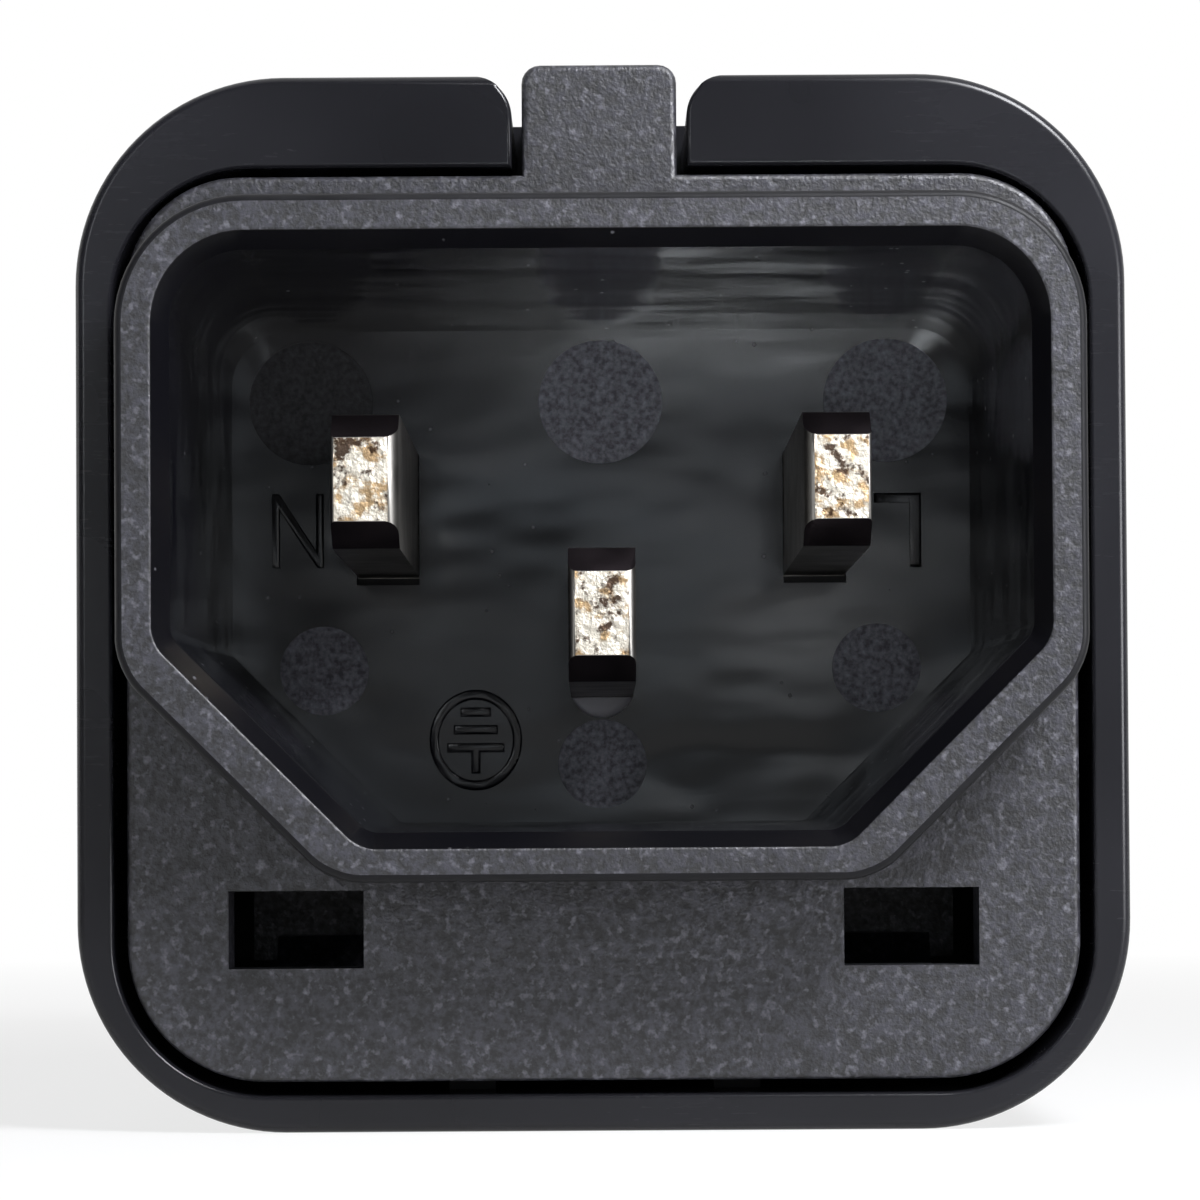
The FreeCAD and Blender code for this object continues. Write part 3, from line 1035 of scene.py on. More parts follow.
    def place(self, scale: Triple = (1.0, 1.0, 1.0), move: Triple = (0.0, 0.0, 0.0),
              turn: Triple = (0.0, 0.0, 0.0)) -> "Workpiece":
        """Scales, turns and moves the whole piece.

        Args:
            scale: Its scale along each axis.
            move: Where its origin goes.
            turn: Its turn about each axis, in degrees.

        Returns:
            The workpiece.
        """
        self.shape.scale = scale
        self.shape.rotation_euler = [math.radians(angle) for angle in turn]
        self.shape.location = move
        self.apply_place()
        return self

    def paint(self, pick: Pick, finish: Finish) -> "Workpiece":
        """Gives faces another finish.

        Args:
            pick: The faces.
            finish: Their finish.

        Returns:
            The workpiece.
        """
        materials = self.shape.data.materials
        if finish.name not in materials:
            materials.append(finish.material())
        number = list(materials.keys()).index(finish.name)
        with self.open(Part.FACE) as mesh:
            for face in self.select(mesh, Part.FACE, pick):
                face.material_index = number
            bmesh.update_edit_mesh(self.shape.data)
        return self

    def work(self, how: Joining, *others: "Workpiece") -> "Workpiece":
        """Cuts other workpieces out of this one, or fuses them to it, and uses them up.

        Args:
            how: Whether they cut or fuse.
            others: The other workpieces, whose finish goes with their faces.

        Returns:
            The workpiece.
        """
        for other in others:
            self.take_up()
            modifier = self.shape.modifiers.new(how.name, "BOOLEAN")
            modifier.operation = how.value
            modifier.solver = "EXACT"
            modifier.material_mode = "TRANSFER"
            modifier.object = other.shape
            bpy.ops.object.modifier_apply(modifier=modifier.name)
            bpy.data.objects.remove(other.shape)
            with self.open(Part.FACE, whole=True):
                bpy.ops.mesh.remove_doubles(threshold=MERGE)
                bpy.ops.mesh.dissolve_limited(angle_limit=math.radians(FLAT_WITHIN),
                                              delimit={"MATERIAL"})
        return self

    def leave(self, slot: Slot, node: str) -> bpy.types.Object:
        """Scales the piece to metres, smooths it and puts it on its body in place of a node.

        Args:
            slot: Not used.
            node: The node of the frame that it stands for.

        Returns:
            The finished piece.
        """
        self.place(scale=(1 / MM,) * 3)
        bpy.ops.object.shade_smooth_by_angle(angle=math.radians(SMOOTH_BELOW))
        modifier = self.shape.modifiers.new("even_shading", "WEIGHTED_NORMAL")
        modifier.keep_sharp = True
        bpy.ops.object.modifier_apply(modifier=modifier.name)
        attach(self.shape, BODY)
        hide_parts(node)
        log.info("%s: %d faces", self.shape.name, len(self.shape.data.polygons))
        return self.shape


def corners(node: str) -> tuple[Vector, Vector]:
    """The lowest and highest corner of a node of the frame, in millimetres."""
    low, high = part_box(node)
    return low * MM, high * MM


def around(middle: float, half: float) -> Span:
    """The span that reaches as far to both sides of its middle."""
    return (middle - half, middle + half)


def rounded_block(name: str, x: Span, y: Span, z: Span, rounds: Sequence[Round],
                  finish: Finish) -> Workpiece:
    """Starts a block along Y with rounded corners.

    Args:
        name: The name of the piece.
        x: Where it starts and ends across.
        y: Where it starts and ends along.
        z: Where it starts and ends upwards.
        rounds: Its lower and its upper corners.
        finish: Its finish.

    Returns:
        The workpiece.
    """
    piece = Workpiece.block(name, x, y, z, finish)
    for how, height in zip(rounds, z):
        piece.round(Pick.corner(height), how)
    return piece


# ---- Sub-assemblies ----
@dataclass(frozen=True)
class StopRibs:
    """The four ribs inside the sleeve that the blocks are stopped and guided by."""

    thickness: float = 1.4
    bottom_height: float = 3.4
    bottom_offset: float = 4.0
    top_height: float = 1.1
    top_offset: float = 9.0
    sunk: float = 0.5

    def blocks(self, heights: Span, y: Span, gap: float, finish: Finish) -> list[Workpiece]:
        """Makes the ribs, or the slots that clear them.

        Args:
            heights: The heights of the mouth's lower and upper side.
            y: Where the ribs start and end.
            gap: How much wider a slot is all round.
            finish: Their finish.

        Returns:
            Four workpieces.
        """
        low, high = heights
        half = self.thickness / 2 + gap
        rows = ((self.bottom_offset, (low - self.sunk, low + self.bottom_height + gap)),
                (self.top_offset, (high - self.top_height - gap, high + self.sunk)))
        return [Workpiece.block("rib", around(side * offset, half), y, z, finish)
                for side in SIDES for offset, z in rows]


@dataclass(frozen=True)
class HousingShell:
    """The square outer sleeve with its notch, its ribs and its rear wall."""

    corner: Round = Round(6.2, 28)
    front_edge: Round = Round(0.3, 4)
    back_edge: Round = Round(0.9, 8)
    mouth_edge: Round = Round(0.14, 3)
    side_wall: float = 1.1
    bottom_wall: float = 1.1
    top_wall: float = 2.75
    rear_wall: float = 1.6
    mouth_corners: tuple[Round, Round] = (Round(4.5, 20), Round(4.1, 20))
    notch_half_width: float = 2.6
    notch_length: float = 8.9
    notch_reach: float = 4.0
    lip_radius: float = 1.25
    nose_clearance: float = 0.15
    nose_corner: Round = Round(1.45, 10)
    rib_start: float = 2.9
    rib_root: float = 0.3
    ribs: StopRibs = StopRibs()
    finish: Finish = GlossPlastic()
    # The ribs take the darker plain finish: painted shade in the sleeve's gap.
    rib_painted_shade: Finish = SmoothEdgePaintedShade()

    def build(self) -> bpy.types.Object:
        """Builds the sleeve in place of its node.

        Returns:
            The finished piece.
        """
        low, high = corners("housing")
        front, back = low.y, high.y
        wall_front = back - self.rear_wall
        shell = rounded_block("housing_shell", *zip(low, high), (self.corner,) * 2, self.finish)
        shell.round(Pick.outline(front), self.front_edge)
        shell.round(Pick.outline(back), self.back_edge)
        x, heights = self.mouth()
        mouth = rounded_block("mouth", x, (front - LONG_REACH, wall_front), heights,
                              self.mouth_corners, self.finish)
        opening = self.nose_opening((wall_front - REACH, back + LONG_REACH))
        shell.work(Joining.CUT, mouth, opening, self.notch(front, heights[1], high.z))
        y = (front + self.rib_start, wall_front + self.rib_root)
        shell.work(Joining.FUSE, *self.ribs.blocks(heights, y, 0.0, self.rib_painted_shade))
        shell.round(Pick.outline(front), self.mouth_edge)
        return shell.leave(Slot.HOUSING, "housing")

    def mouth(self, inset: float = 0.0) -> tuple[Span, Span]:
        """Where the mouth's sides are.

        Args:
            inset: How much narrower it is taken to be all round.

        Returns:
            Its span across and its span upwards.
        """
        low, high = corners("housing")
        half = high.x - self.side_wall - inset
        return (-half, half), (low.z + self.bottom_wall + inset, high.z - self.top_wall - inset)

    def nose_opening(self, y: Span) -> Workpiece:
        """The cutter for the opening that the nose passes, a little clear of it.

        Args:
            y: Where the cutter starts and ends.

        Returns:
            The cutter.
        """
        gap = Vector((self.nose_clearance, 0.0, self.nose_clearance))
        nose_low, nose_high = SocketBlock().nose_corners()
        x, _, z = zip(nose_low - gap, nose_high + gap)
        return rounded_block("opening", x, y, z, (self.nose_corner,) * 2, self.finish)

    def notch(self, front: float, mouth_high: float, top: float) -> Workpiece:
        """The cutter for the notch in the top wall, which leaves its two lips rounded.

        Args:
            front: Where the sleeve starts.
            mouth_high: The height of the mouth's upper side.
            top: The height of the sleeve.

        Returns:
            The cutter.
        """
        half, lip = self.notch_half_width, self.lip_radius
        y = (front - LONG_REACH, front + self.notch_length)
        flare = Workpiece.block("notch_flare", (-half - lip, half + lip), y,
                                (top - lip, top + LONG_REACH), self.finish)
        flare.work(Joining.CUT, *(Workpiece.disc("lip", (side * (half + lip), top - lip), lip,
                                                 (y[0] - REACH, y[1] + REACH), self.finish)
                                  for side in SIDES))
        slot = Workpiece.block("notch", (-half, half), y,
                               (mouth_high - REACH, top + self.notch_reach), self.finish)
        return slot.work(Joining.FUSE, flare)


@dataclass(frozen=True)
class CavityOutline:
    """The six-sided outline of a C14 inlet."""

    half_width: float = 12.45
    low: float = 8.95
    high: float = 25.7
    bevel_width: float = 6.1
    bevel_height: float = 5.3
    top_corner: Round = Round(2.2, 14)
    bevel_corner: Round = Round(0.6, 6)

    def prism(self, name: str, grow: float, y: Span, finish: Finish) -> Workpiece:
        """Starts a prism along Y with this outline.

        Args:
            name: The name of the piece.
            grow: How far the outline moves out.
            y: Where the prism starts and ends.
            finish: Its finish.

        Returns:
            The workpiece.
        """
        half, low, high = self.half_width + grow, self.low - grow, self.high + grow
        slant = math.hypot(self.bevel_width, self.bevel_height)
        width = self.bevel_width + grow * (1 - (slant - self.bevel_width) / self.bevel_height)
        height = self.bevel_height + grow * (1 - (slant - self.bevel_height) / self.bevel_width)
        piece = Workpiece.block(name, (-half, half), y, (low, high), finish)
        for side in SIDES:
            piece.slice((side * half, y[0], low + height), (side * height, 0.0, -width))
        piece.round(Pick.corner(high), self.top_corner.grown(grow))
        for level in (low, low + height):
            piece.round(Pick.corner(level, BLUNT), self.bevel_corner.grown(grow))
        return piece


@dataclass(frozen=True)
class FloorMark:
    """A round mark that an ejector leaves on the cavity's floor, by its place across and up."""

    across: float
    up: float
    radius: float = 1.45
    finish: Finish = EjectorMark()
    depth: float = 0.04
    cutter_rise: float = 0.5

    def cutter(self, floor: float) -> Workpiece:
        """The cutter for the mark."""
        return Workpiece.disc("mark", (self.across, self.up), self.radius,
                              (floor - self.cutter_rise, floor + self.depth), self.finish)


@dataclass(frozen=True)
class InletBlock:
    """The C14 end: a grained plate with its tab, and the shroud with its glossy cavity."""

    rim_proud: float = 4.0
    plate_thickness: float = 2.0
    plate_high: float = 28.36
    plate_corners: tuple[Round, Round] = (Round(4.1, 18), Round(3.4, 18))
    plate_edge: Round = Round(0.2, 3)
    tab_half_width: float = 2.3
    tab_length: float = 8.6
    tab_root: float = 1.5
    tab_corner: Round = Round(0.55, 5)
    wall: float = 1.53
    outer_edge: Round = Round(0.22, 4)
    inner_edge: Round = Round(0.12, 3)
    lead_in: Span = (0.49, 0.7)
    lead_stub: float = 0.2
    draft: float = 0.35
    cavity_depth: float = 17.0
    window_half_width: float = 2.0
    window_heights: Span = (4.85, 7.15)
    window_offset: float = 9.1
    lug_setback: float = 9.0
    lug_thickness: float = 2.2
    lug_slope: Round = Round(1.2, 1)
    pin_fit: float = 0.03
    relief_drop: float = 0.3
    relief_depth: float = 0.8
    relief_lap: float = 0.5
    flange_margin: float = 0.63
    flange_thickness: float = 1.0
    collar: Triple = (0.0, 0.35, 1.05)
    collar_height: float = 0.3
    collar_root: float = 0.2
    collar_edge: Round = Round(0.24, 5)
    collar_sides: int = 48
    marks: tuple[FloorMark, ...] = (
        # The first mark takes the darker copy of the ejector finish: painted shade.
        FloorMark(-9.5, 22.99, 2.03, EjectorMarkPaintedShade()), FloorMark(0.0, 22.99, 2.03),
        FloorMark(9.35, 22.99, 2.03), FloorMark(-9.1, 14.2), FloorMark(9.0, 14.2),
        FloorMark(0.0, 11.1))
    outline: CavityOutline = CavityOutline(low=8.85, bevel_width=6.57, bevel_height=5.7)
    shroud: CavityOutline = CavityOutline()
    grained: Finish = SparkedPlastic()
    # Darker plain finish: painted shade on the shroud's sides, its outer edge and the recesses
    # under the outer pins.
    smooth_painted_shade: Finish = SmoothEdgePaintedShade()
    glossy: Finish = CavityPlastic()
    # Pale finish of the earth pin's lip: painted highlight.
    lip: Finish = LipPaintedHighlight()
    # Rougher finish of the flared edge; its darker colour is painted shade.
    flare: Finish = FlarePlasticPaintedShade()

    def build(self) -> bpy.types.Object:
        """Builds the block in place of its node.

        Returns:
            The finished piece.
        """
        low, high = corners("inlet_block")
        rim, end = low.y, high.y
        front, floor = rim + self.rim_proud, rim + self.cavity_depth
        block = self.plate(low, high, front)
        pot = self.shroud.prism("pot", self.wall, (rim, end), self.smooth_painted_shade)
        pot.round(Pick.outline(rim), self.outer_edge)
        pot.paint(Pick.end(rim, -1), self.grained)
        block.work(Joining.FUSE, pot, *self.lugs(front))
        block.work(Joining.CUT, self.cavity(rim, floor), self.lead(rim), *self.windows(front))
        block.round(Pick.outline(rim, SLANTED), self.inner_edge)
        block.work(Joining.CUT, *(mark.cutter(floor) for mark in self.marks))
        block.work(Joining.FUSE, self.earth_collar(floor), *PoleMarks().pieces(floor))
        block.work(Joining.CUT, *self.pin_holes(floor, end))
        return block.leave(Slot.INLET, "inlet_block")

    def plate(self, low: Vector, high: Vector, front: float) -> Workpiece:
        """The plate with its tab.

        Args:
            low: The lowest corner of the block.
            high: Its highest corner.
            front: Where the plate starts.

        Returns:
            The workpiece.
        """
        plate = rounded_block("inlet_moulding", (low.x, high.x),
                              (front, front + self.plate_thickness), (low.z, self.plate_high),
                              self.plate_corners, self.grained)
        tab = Workpiece.block("tab", (-self.tab_half_width, self.tab_half_width),
                              (front, front + self.tab_length),
                              (self.plate_high - self.tab_root, high.z), self.grained)
        tab.round(Pick.corner(high.z), self.tab_corner)
        plate.work(Joining.FUSE, tab)
        return plate.round(Pick.outline(front), self.plate_edge)

    def cavity(self, rim: float, floor: float) -> Workpiece:
        """The cutter for the cavity, which narrows to its floor.

        Args:
            rim: Where the shroud starts.
            floor: Where the cavity ends.

        Returns:
            The cutter.
        """
        straight = rim + self.lead_in[1]
        tool = self.outline.prism("cavity", 0.0, (rim - REACH, straight), self.glossy)
        return tool.step_in(Pick.end(straight, 1), self.draft, floor - straight)

    def lead(self, rim: float) -> Workpiece:
        """The cutter for the flared edge of the cavity.

        Args:
            rim: Where the shroud starts.

        Returns:
            The cutter.
        """
        width, depth = self.lead_in
        start = rim - depth
        # The flared edge takes the darker finish: painted shade.
        tool = self.outline.prism("lead", 2 * width, (start - self.lead_stub, start), self.flare)
        return tool.step_in(Pick.end(start, 1), 2 * width, 2 * depth)

    def under_windows(self, name: str, y: Span, z: Span) -> list[Workpiece]:
        """Two blocks as wide as the snap windows.

        Args:
            name: Their name.
            y: Where they start and end along.
            z: Where they start and end upwards.

        Returns:
            The workpieces.
        """
        return [Workpiece.block(name, around(side * self.window_offset, self.window_half_width),
                                y, z, self.grained) for side in SIDES]

    def windows(self, front: float) -> list[Workpiece]:
        """The cutters for the two snap windows."""
        return self.under_windows("window", (front - LONG_REACH, front + self.lug_setback),
                                  self.window_heights)

    def lugs(self, front: float) -> list[Workpiece]:
        """The two catch lugs under the pot.

        Args:
            front: Where the plate starts.

        Returns:
            The workpieces.
        """
        low, top = self.window_heights[0], self.shroud.low + self.shroud.bevel_height
        start = front + self.lug_setback
        back = start + self.lug_thickness
        return [lug.round(Pick(along=Axis.X, y=(back, back), z=(low, low)), self.lug_slope)
                for lug in self.under_windows("lug", (start, back), (low, top))]

    def earth_collar(self, floor: float) -> Workpiece:
        """The half-round lip under the earth pin, painted pale: a painted highlight.

        Args:
            floor: The depth of the cavity's floor.

        Returns:
            The workpiece.
        """
        low, _ = PinBlade(Pole.EARTH).blade_corners()
        x, rise, radius = self.collar
        front = floor - self.collar_height
        collar = Workpiece.disc("collar", (x, low.z + rise), radius,
                                (front, floor + self.collar_root), self.lip, self.collar_sides)
        return collar.round(Pick.outline(front), self.collar_edge)

    def pin_holes(self, floor: float, end: float) -> list[Workpiece]:
        """The cutters for the pins, for their flanges and for the recess under each outer pin.

        Args:
            floor: The depth of the cavity's floor.
            end: Where the pot ends.

        Returns:
            The cutters.
        """
        fit, margin, made = self.pin_fit, self.flange_margin, []
        for pole in Pole:
            low, high = PinBlade(pole).blade_corners()
            x, start = (low.x - fit, high.x + fit), floor - REACH
            made.append(Workpiece.block("pin_hole", x, (start, end + REACH),
                                        (low.z - fit, high.z + fit), self.glossy))
            made.append(Workpiece.block("flange_hole", (low.x - margin, high.x + margin),
                                        (end - self.flange_thickness, end + REACH),
                                        (low.z - margin, high.z + margin), self.grained))
            if pole is not Pole.EARTH:
                # The recess takes the darker plain finish: painted shade.
                made.append(Workpiece.block("relief", x, (start, floor + self.relief_depth),
                                            (low.z - self.relief_drop, low.z + self.relief_lap),
                                            self.smooth_painted_shade))
        return made


@dataclass(frozen=True)
class PoleMarks:
    """The raised marks on the cavity's floor: the ringed earth sign and the two pole letters.

    Places are across and up from the earth pin's middle. The marks stand on their heads, as on any
    inlet of this kind whose earth pin is the lowest.
    """

    ring: Triple = (-4.15, -3.4, 1.52)
    ring_stretch: float = 1.09
    ring_sides: int = 72
    ridge: float = 0.31
    rise: float = 0.09
    root: float = 0.1
    crest: Round = Round(0.081, 3)
    bars: tuple[Span, ...] = ((0.92, 1.0), (0.34, 1.45), (-0.25, 1.88))
    stem: Span = (-0.2, -1.1)
    letters: tuple[tuple[str, float, float, float], ...] = (("N", -9.95, 3.64, 1.7),
                                                            ("L", 9.85, 3.56, 1.55))
    letter_height: float = 2.45
    letter_rise: float = 0.1
    letter_crest: Round = Round(0.09, 3)
    finish: Finish = CavityPlastic()

    def pieces(self, floor: float) -> list[Workpiece]:
        """All the marks, ready to be fused to the floor.

        Args:
            floor: The depth of the cavity's floor.

        Returns:
            The workpieces.
        """
        middle = PinBlade(Pole.EARTH).middle()
        x, z = middle.x + self.ring[0], middle.z + self.ring[1]
        top, bottom = self.stem
        return [self.round_ridge(floor, (x, z)),
                *(self.bar(floor, (x, z + up), width, self.ridge) for up, width in self.bars),
                self.bar(floor, (x, z + (top + bottom) / 2), self.ridge, top - bottom),
                *self.pole_letters(floor, middle)]

    def pole_letters(self, floor: float, middle: Vector) -> list[Workpiece]:
        """The letters beside the outer pins, raised from the floor and upside down.

        Args:
            floor: The depth of the cavity's floor.
            middle: The middle of the earth pin.

        Returns:
            The workpieces.
        """
        made = []
        for text, across, up, width in self.letters:
            letter = Workpiece.letter("letter", text, self.letter_height, 2 * self.letter_rise,
                                      self.finish)
            size = letter.shape.dimensions
            letter.place(scale=(width / size.x, 1.0, self.letter_height / size.z), turn=UPSIDE_DOWN)
            letter.place(move=(middle.x + across, floor, middle.z + up))
            made.append(letter.round(Pick.outline(floor - self.letter_rise), self.letter_crest))
        return made

    def round_ridge(self, floor: float, centre: Span) -> Workpiece:
        """The ring, as a ridge on the floor.

        Args:
            floor: The depth of the floor.
            centre: Its middle, across and up.

        Returns:
            The workpiece.
        """
        front, radius = floor - self.rise, self.ring[2]
        y = (front, floor + self.root)
        ring = Workpiece.disc("ring", (0.0, 0.0), radius, y, self.finish, self.ring_sides)
        inside = Workpiece.disc("ring_inside", (0.0, 0.0), radius - self.ridge,
                                (y[0] - REACH, y[1] + REACH), self.finish, self.ring_sides)
        ring.work(Joining.CUT, inside)
        ring.round(Pick.outline(front), self.crest)
        return ring.place(scale=(1.0, 1.0, self.ring_stretch), move=(centre[0], 0.0, centre[1]))

    def bar(self, floor: float, centre: Span, width: float, height: float) -> Workpiece:
        """One straight ridge.

        Args:
            floor: The depth of the floor.
            centre: Its middle, across and up.
            width: How wide it is.
            height: How tall it is.

        Returns:
            The workpiece.
        """
        front = floor - self.rise
        bar = Workpiece.block("bar", around(centre[0], width / 2), (front, floor + self.root),
                              around(centre[1], height / 2), self.finish)
        return bar.round(Pick.outline(front), self.crest)


@dataclass(frozen=True)
class PinBlade:
    """One flat pin: a plated blade with coined chamfers, a sheared tip, and a headed tail."""

    pole: Pole
    thickness: float = 2.0
    width: float = 4.0
    tip_length: float = 0.9
    tip_height: float = 0.625
    inner_radius: float = 0.42
    outer_radius: float = 0.12
    side_flats: int = 6
    edge: Round = Round(0.09, 3)
    tip_depth: float = 0.02
    flange_thickness: float = 1.0
    tail: Triple = (1.4, 0.8, 2.0)
    head: Triple = (2.1, 0.5, 2.7)
    lap: float = 0.05
    plated: Finish = PlatedMetal()
    chamfer_painted_shade: Finish = ChamferMetalPaintedShade()
    sheared: Finish = ShearedTip()

    def node(self) -> str:
        """The node of this pin."""
        return f"{self.pole.value}_pin"

    def middle(self) -> Vector:
        """The middle of the pin, in millimetres."""
        low, high = corners(self.node())
        return (low + high) / 2

    def blade_corners(self) -> tuple[Vector, Vector]:
        """The corners of the blade alone.

        Returns:
            Its lowest and highest corner.
        """
        low, high = corners(self.node())
        half = Vector((self.thickness / 2, 0.0, self.width / 2))
        start, end = self.middle() - half, self.middle() + half
        back = high.y - self.head[1] - self.tail[1]
        return Vector((start.x, low.y, start.z)), Vector((end.x, back, end.z))

    def side_radii(self) -> Span:
        """How far the tip is rounded on its left and on its right.

        Returns:
            The two radii, of which the larger is on the side that faces the middle.
        """
        across = self.middle().x
        if abs(across) < SAME_PLACE:
            return ((self.inner_radius + self.outer_radius) / 2,) * 2
        radii = (self.inner_radius, self.outer_radius)
        return radii if across > 0 else radii[::-1]

    def build(self) -> bpy.types.Object:
        """Builds the pin in place of its node.

        Returns:
            The finished piece.
        """
        low, high = corners(self.node())
        start, end = self.blade_corners()
        shoulder = start.y + self.tip_length
        pin = Workpiece.block(f"{self.pole.value}_blade", (start.x, end.x), (shoulder, end.y),
                              (start.z, end.z), self.plated)
        pin.push(Pick(facing=TO_FRONT), (0.0, -self.tip_length, 0.0), (1.0, 1.0, self.tip_height))
        for side in SIDES:
            slope = Vector((0.0, -(1 - self.tip_height) * self.width / 2, side * self.tip_length))
            # The chamfers take the near-black finish: painted shade.
            pin.paint(Pick(y=(start.y, shoulder), facing=tuple(slope.normalized())), self.chamfer_painted_shade)
        for x, radius in zip((start.x, end.x), self.side_radii()):
            pin.round(Pick(along=Axis.Z, x=(x, x), y=(start.y, start.y)),
                      Round(radius, self.side_flats))
        pin.round(Pick(along=Axis.X, y=(start.y, shoulder), sharper_than=SLIGHT), self.edge)
        pin.paint(Pick(y=(start.y, start.y + self.tip_depth), facing=TO_FRONT), self.sheared)
        pin.work(Joining.FUSE, Workpiece.block("flange", (low.x, high.x),
                                               (end.y - self.flange_thickness, end.y),
                                               (low.z, high.z), self.plated))
        middle, place = self.middle(), end.y
        for width, length, height in (self.tail, self.head):
            half = Vector((width / 2, 0.0, height / 2))
            pin.work(Joining.FUSE, Workpiece.block("tail", around(middle.x, half.x),
                                                   (place - self.lap, place + length),
                                                   around(middle.z, half.z), self.plated))
            place += length
        return pin.leave(Slot.PIN, self.node())


@dataclass(frozen=True)
class SocketBlock:
    """The C19 end: a flange, a plain nose with three slots, and the two latch arms."""

    side_step: float = 1.6
    top_step: float = 5.475
    nose_length: float = 20.0
    corner: Round = Round(1.3, 8)
    end_edge: Round = Round(0.5, 6)
    end_wall: float = 1.8
    flange_thickness: float = 2.4
    flange_gap: float = 0.25
    flange_flats: int = 12
    rear_wall: float = 1.6
    slot: Span = (5.8, 2.8)
    slot_corner: Round = Round(0.3, 6)
    slot_lead_in: float = 0.45
    slot_stub: float = 0.3
    cell_height: float = 6.4
    arm_x: Span = (7.15, 10.25)
    arm_z: Span = (3.5, 4.7)
    arm_root: float = 1.2
    barb_rise: float = 0.93
    barb_length: float = 1.8
    barb_slope: float = 0.9
    barb_root: float = 0.2
    shell: HousingShell = HousingShell()
    finish: Finish = SparkedPlastic()

    def nose_corners(self) -> tuple[Vector, Vector]:
        """The corners of the nose, which stands in from the housing's sides.

        Returns:
            Its lowest and highest corner.
        """
        low, high = corners("housing")
        end = corners("socket_block")[1].y
        start = end - self.nose_length - self.rear_wall - self.flange_thickness
        return (Vector((low.x + self.side_step, start, low.z + self.top_step)),
                Vector((high.x - self.side_step, end, high.z - self.top_step)))

    def build(self) -> bpy.types.Object:
        """Builds the block in place of its node.

        Returns:
            The finished piece.
        """
        low, high = corners("socket_block")
        nose_low, nose_high = self.nose_corners()
        front, back = nose_low.y, nose_low.y + self.flange_thickness
        nose = rounded_block("socket_moulding", *zip(nose_low, nose_high), (self.corner,) * 2,
                             self.finish)
        nose.round(Pick.outline(high.y), self.end_edge)
        x, z = self.shell.mouth(self.flange_gap)
        rounds = [Round(corner.radius - self.flange_gap, self.flange_flats)
                  for corner in self.shell.mouth_corners]
        nose.work(Joining.FUSE, rounded_block("flange", x, (front, back), z, rounds, self.finish))
        nose.work(Joining.CUT, *self.cells(front, high.y), *self.slots(high.y))
        _, heights = self.shell.mouth()
        nose.work(Joining.CUT, *self.shell.ribs.blocks(heights, (front - REACH, back + REACH),
                                                       self.flange_gap, self.finish))
        nose.work(Joining.FUSE, *self.arms(low.y, front + self.arm_root))
        return nose.leave(Slot.SOCKET, "socket_block")

    def slot_places(self) -> list[Span]:
        """The middle of each slot, across and up."""
        middles = [sum(corners(f"{pole.value}_receptacle"), Vector()) / 2 for pole in Pole]
        return [(middle.x, middle.z) for middle in middles]

    def cells(self, front: float, end: float) -> list[Workpiece]:
        """The cutters for the three contact cells.

        Args:
            front: Where the flange starts.
            end: Where the nose ends.

        Returns:
            The cutters.
        """
        y = (front - REACH, end - self.end_wall)
        return [Workpiece.block("cell", around(x, self.slot[0] / 2), y,
                                around(z, self.cell_height / 2), self.finish)
                for x, z in self.slot_places()]

    def slots(self, end: float) -> list[Workpiece]:
        """The cutters for the three slots with their lead-ins.

        Args:
            end: Where the nose ends.

        Returns:
            The cutters.
        """
        lead, flare, made = self.slot_lead_in, 2 * self.slot_lead_in, []
        half_width, half_height = self.slot[0] / 2 + flare, self.slot[1] / 2 + flare
        start = end + lead
        for x, z in self.slot_places():
            tool = rounded_block("slot", around(x, half_width), (start, start + self.slot_stub),
                                 around(z, half_height), (self.slot_corner.grown(flare),) * 2,
                                 self.finish)
            tool.step_in(Pick.end(start, -1), flare, flare)
            made.append(tool.push(Pick.end(start - flare, -1), (0.0, -self.end_wall, 0.0)))
        return made

    def arms(self, front: float, root: float) -> list[Workpiece]:
        """The two latch arms with their barbs.

        Args:
            front: Where the arms end.
            root: Where they join the flange.

        Returns:
            The workpieces.
        """
        made, top = [], self.arm_z[1]
        high = top + self.barb_rise
        for side in SIDES:
            x = sorted(side * edge for edge in self.arm_x)
            arm = Workpiece.block("arm", x, (front, root), self.arm_z, self.finish)
            barb = Workpiece.block("barb", x, (front, front + self.barb_length),
                                   (top - self.barb_root, high), self.finish)
            barb.slide(Pick(along=Axis.X, y=(front, front), z=(high, high)),
                       (0.0, self.barb_slope, 0.0))
            made.append(arm.work(Joining.FUSE, barb))
        return made


@dataclass(frozen=True)
class ContactSet:
    """The metal and the insulating plate inside, which keep their shapes from the frame."""

    brass: Finish = StripBrass()
    plated: Finish = PlatedMetal()
    insulating: Finish = CarrierPlastic()

    def dress(self) -> None:
        """Gives each node its finish."""
        finishes = {"contact_carrier": self.insulating, "contact_rivets": self.plated}
        for pole in Pole:
            finishes[f"{pole.value}_link"] = self.brass
            finishes[f"{pole.value}_receptacle"] = self.brass
        for name, finish in finishes.items():
            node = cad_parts[name]
            node.data.materials.clear()
            node.data.materials.append(finish.material())
            log.info("%s: %s", name, finish.name)


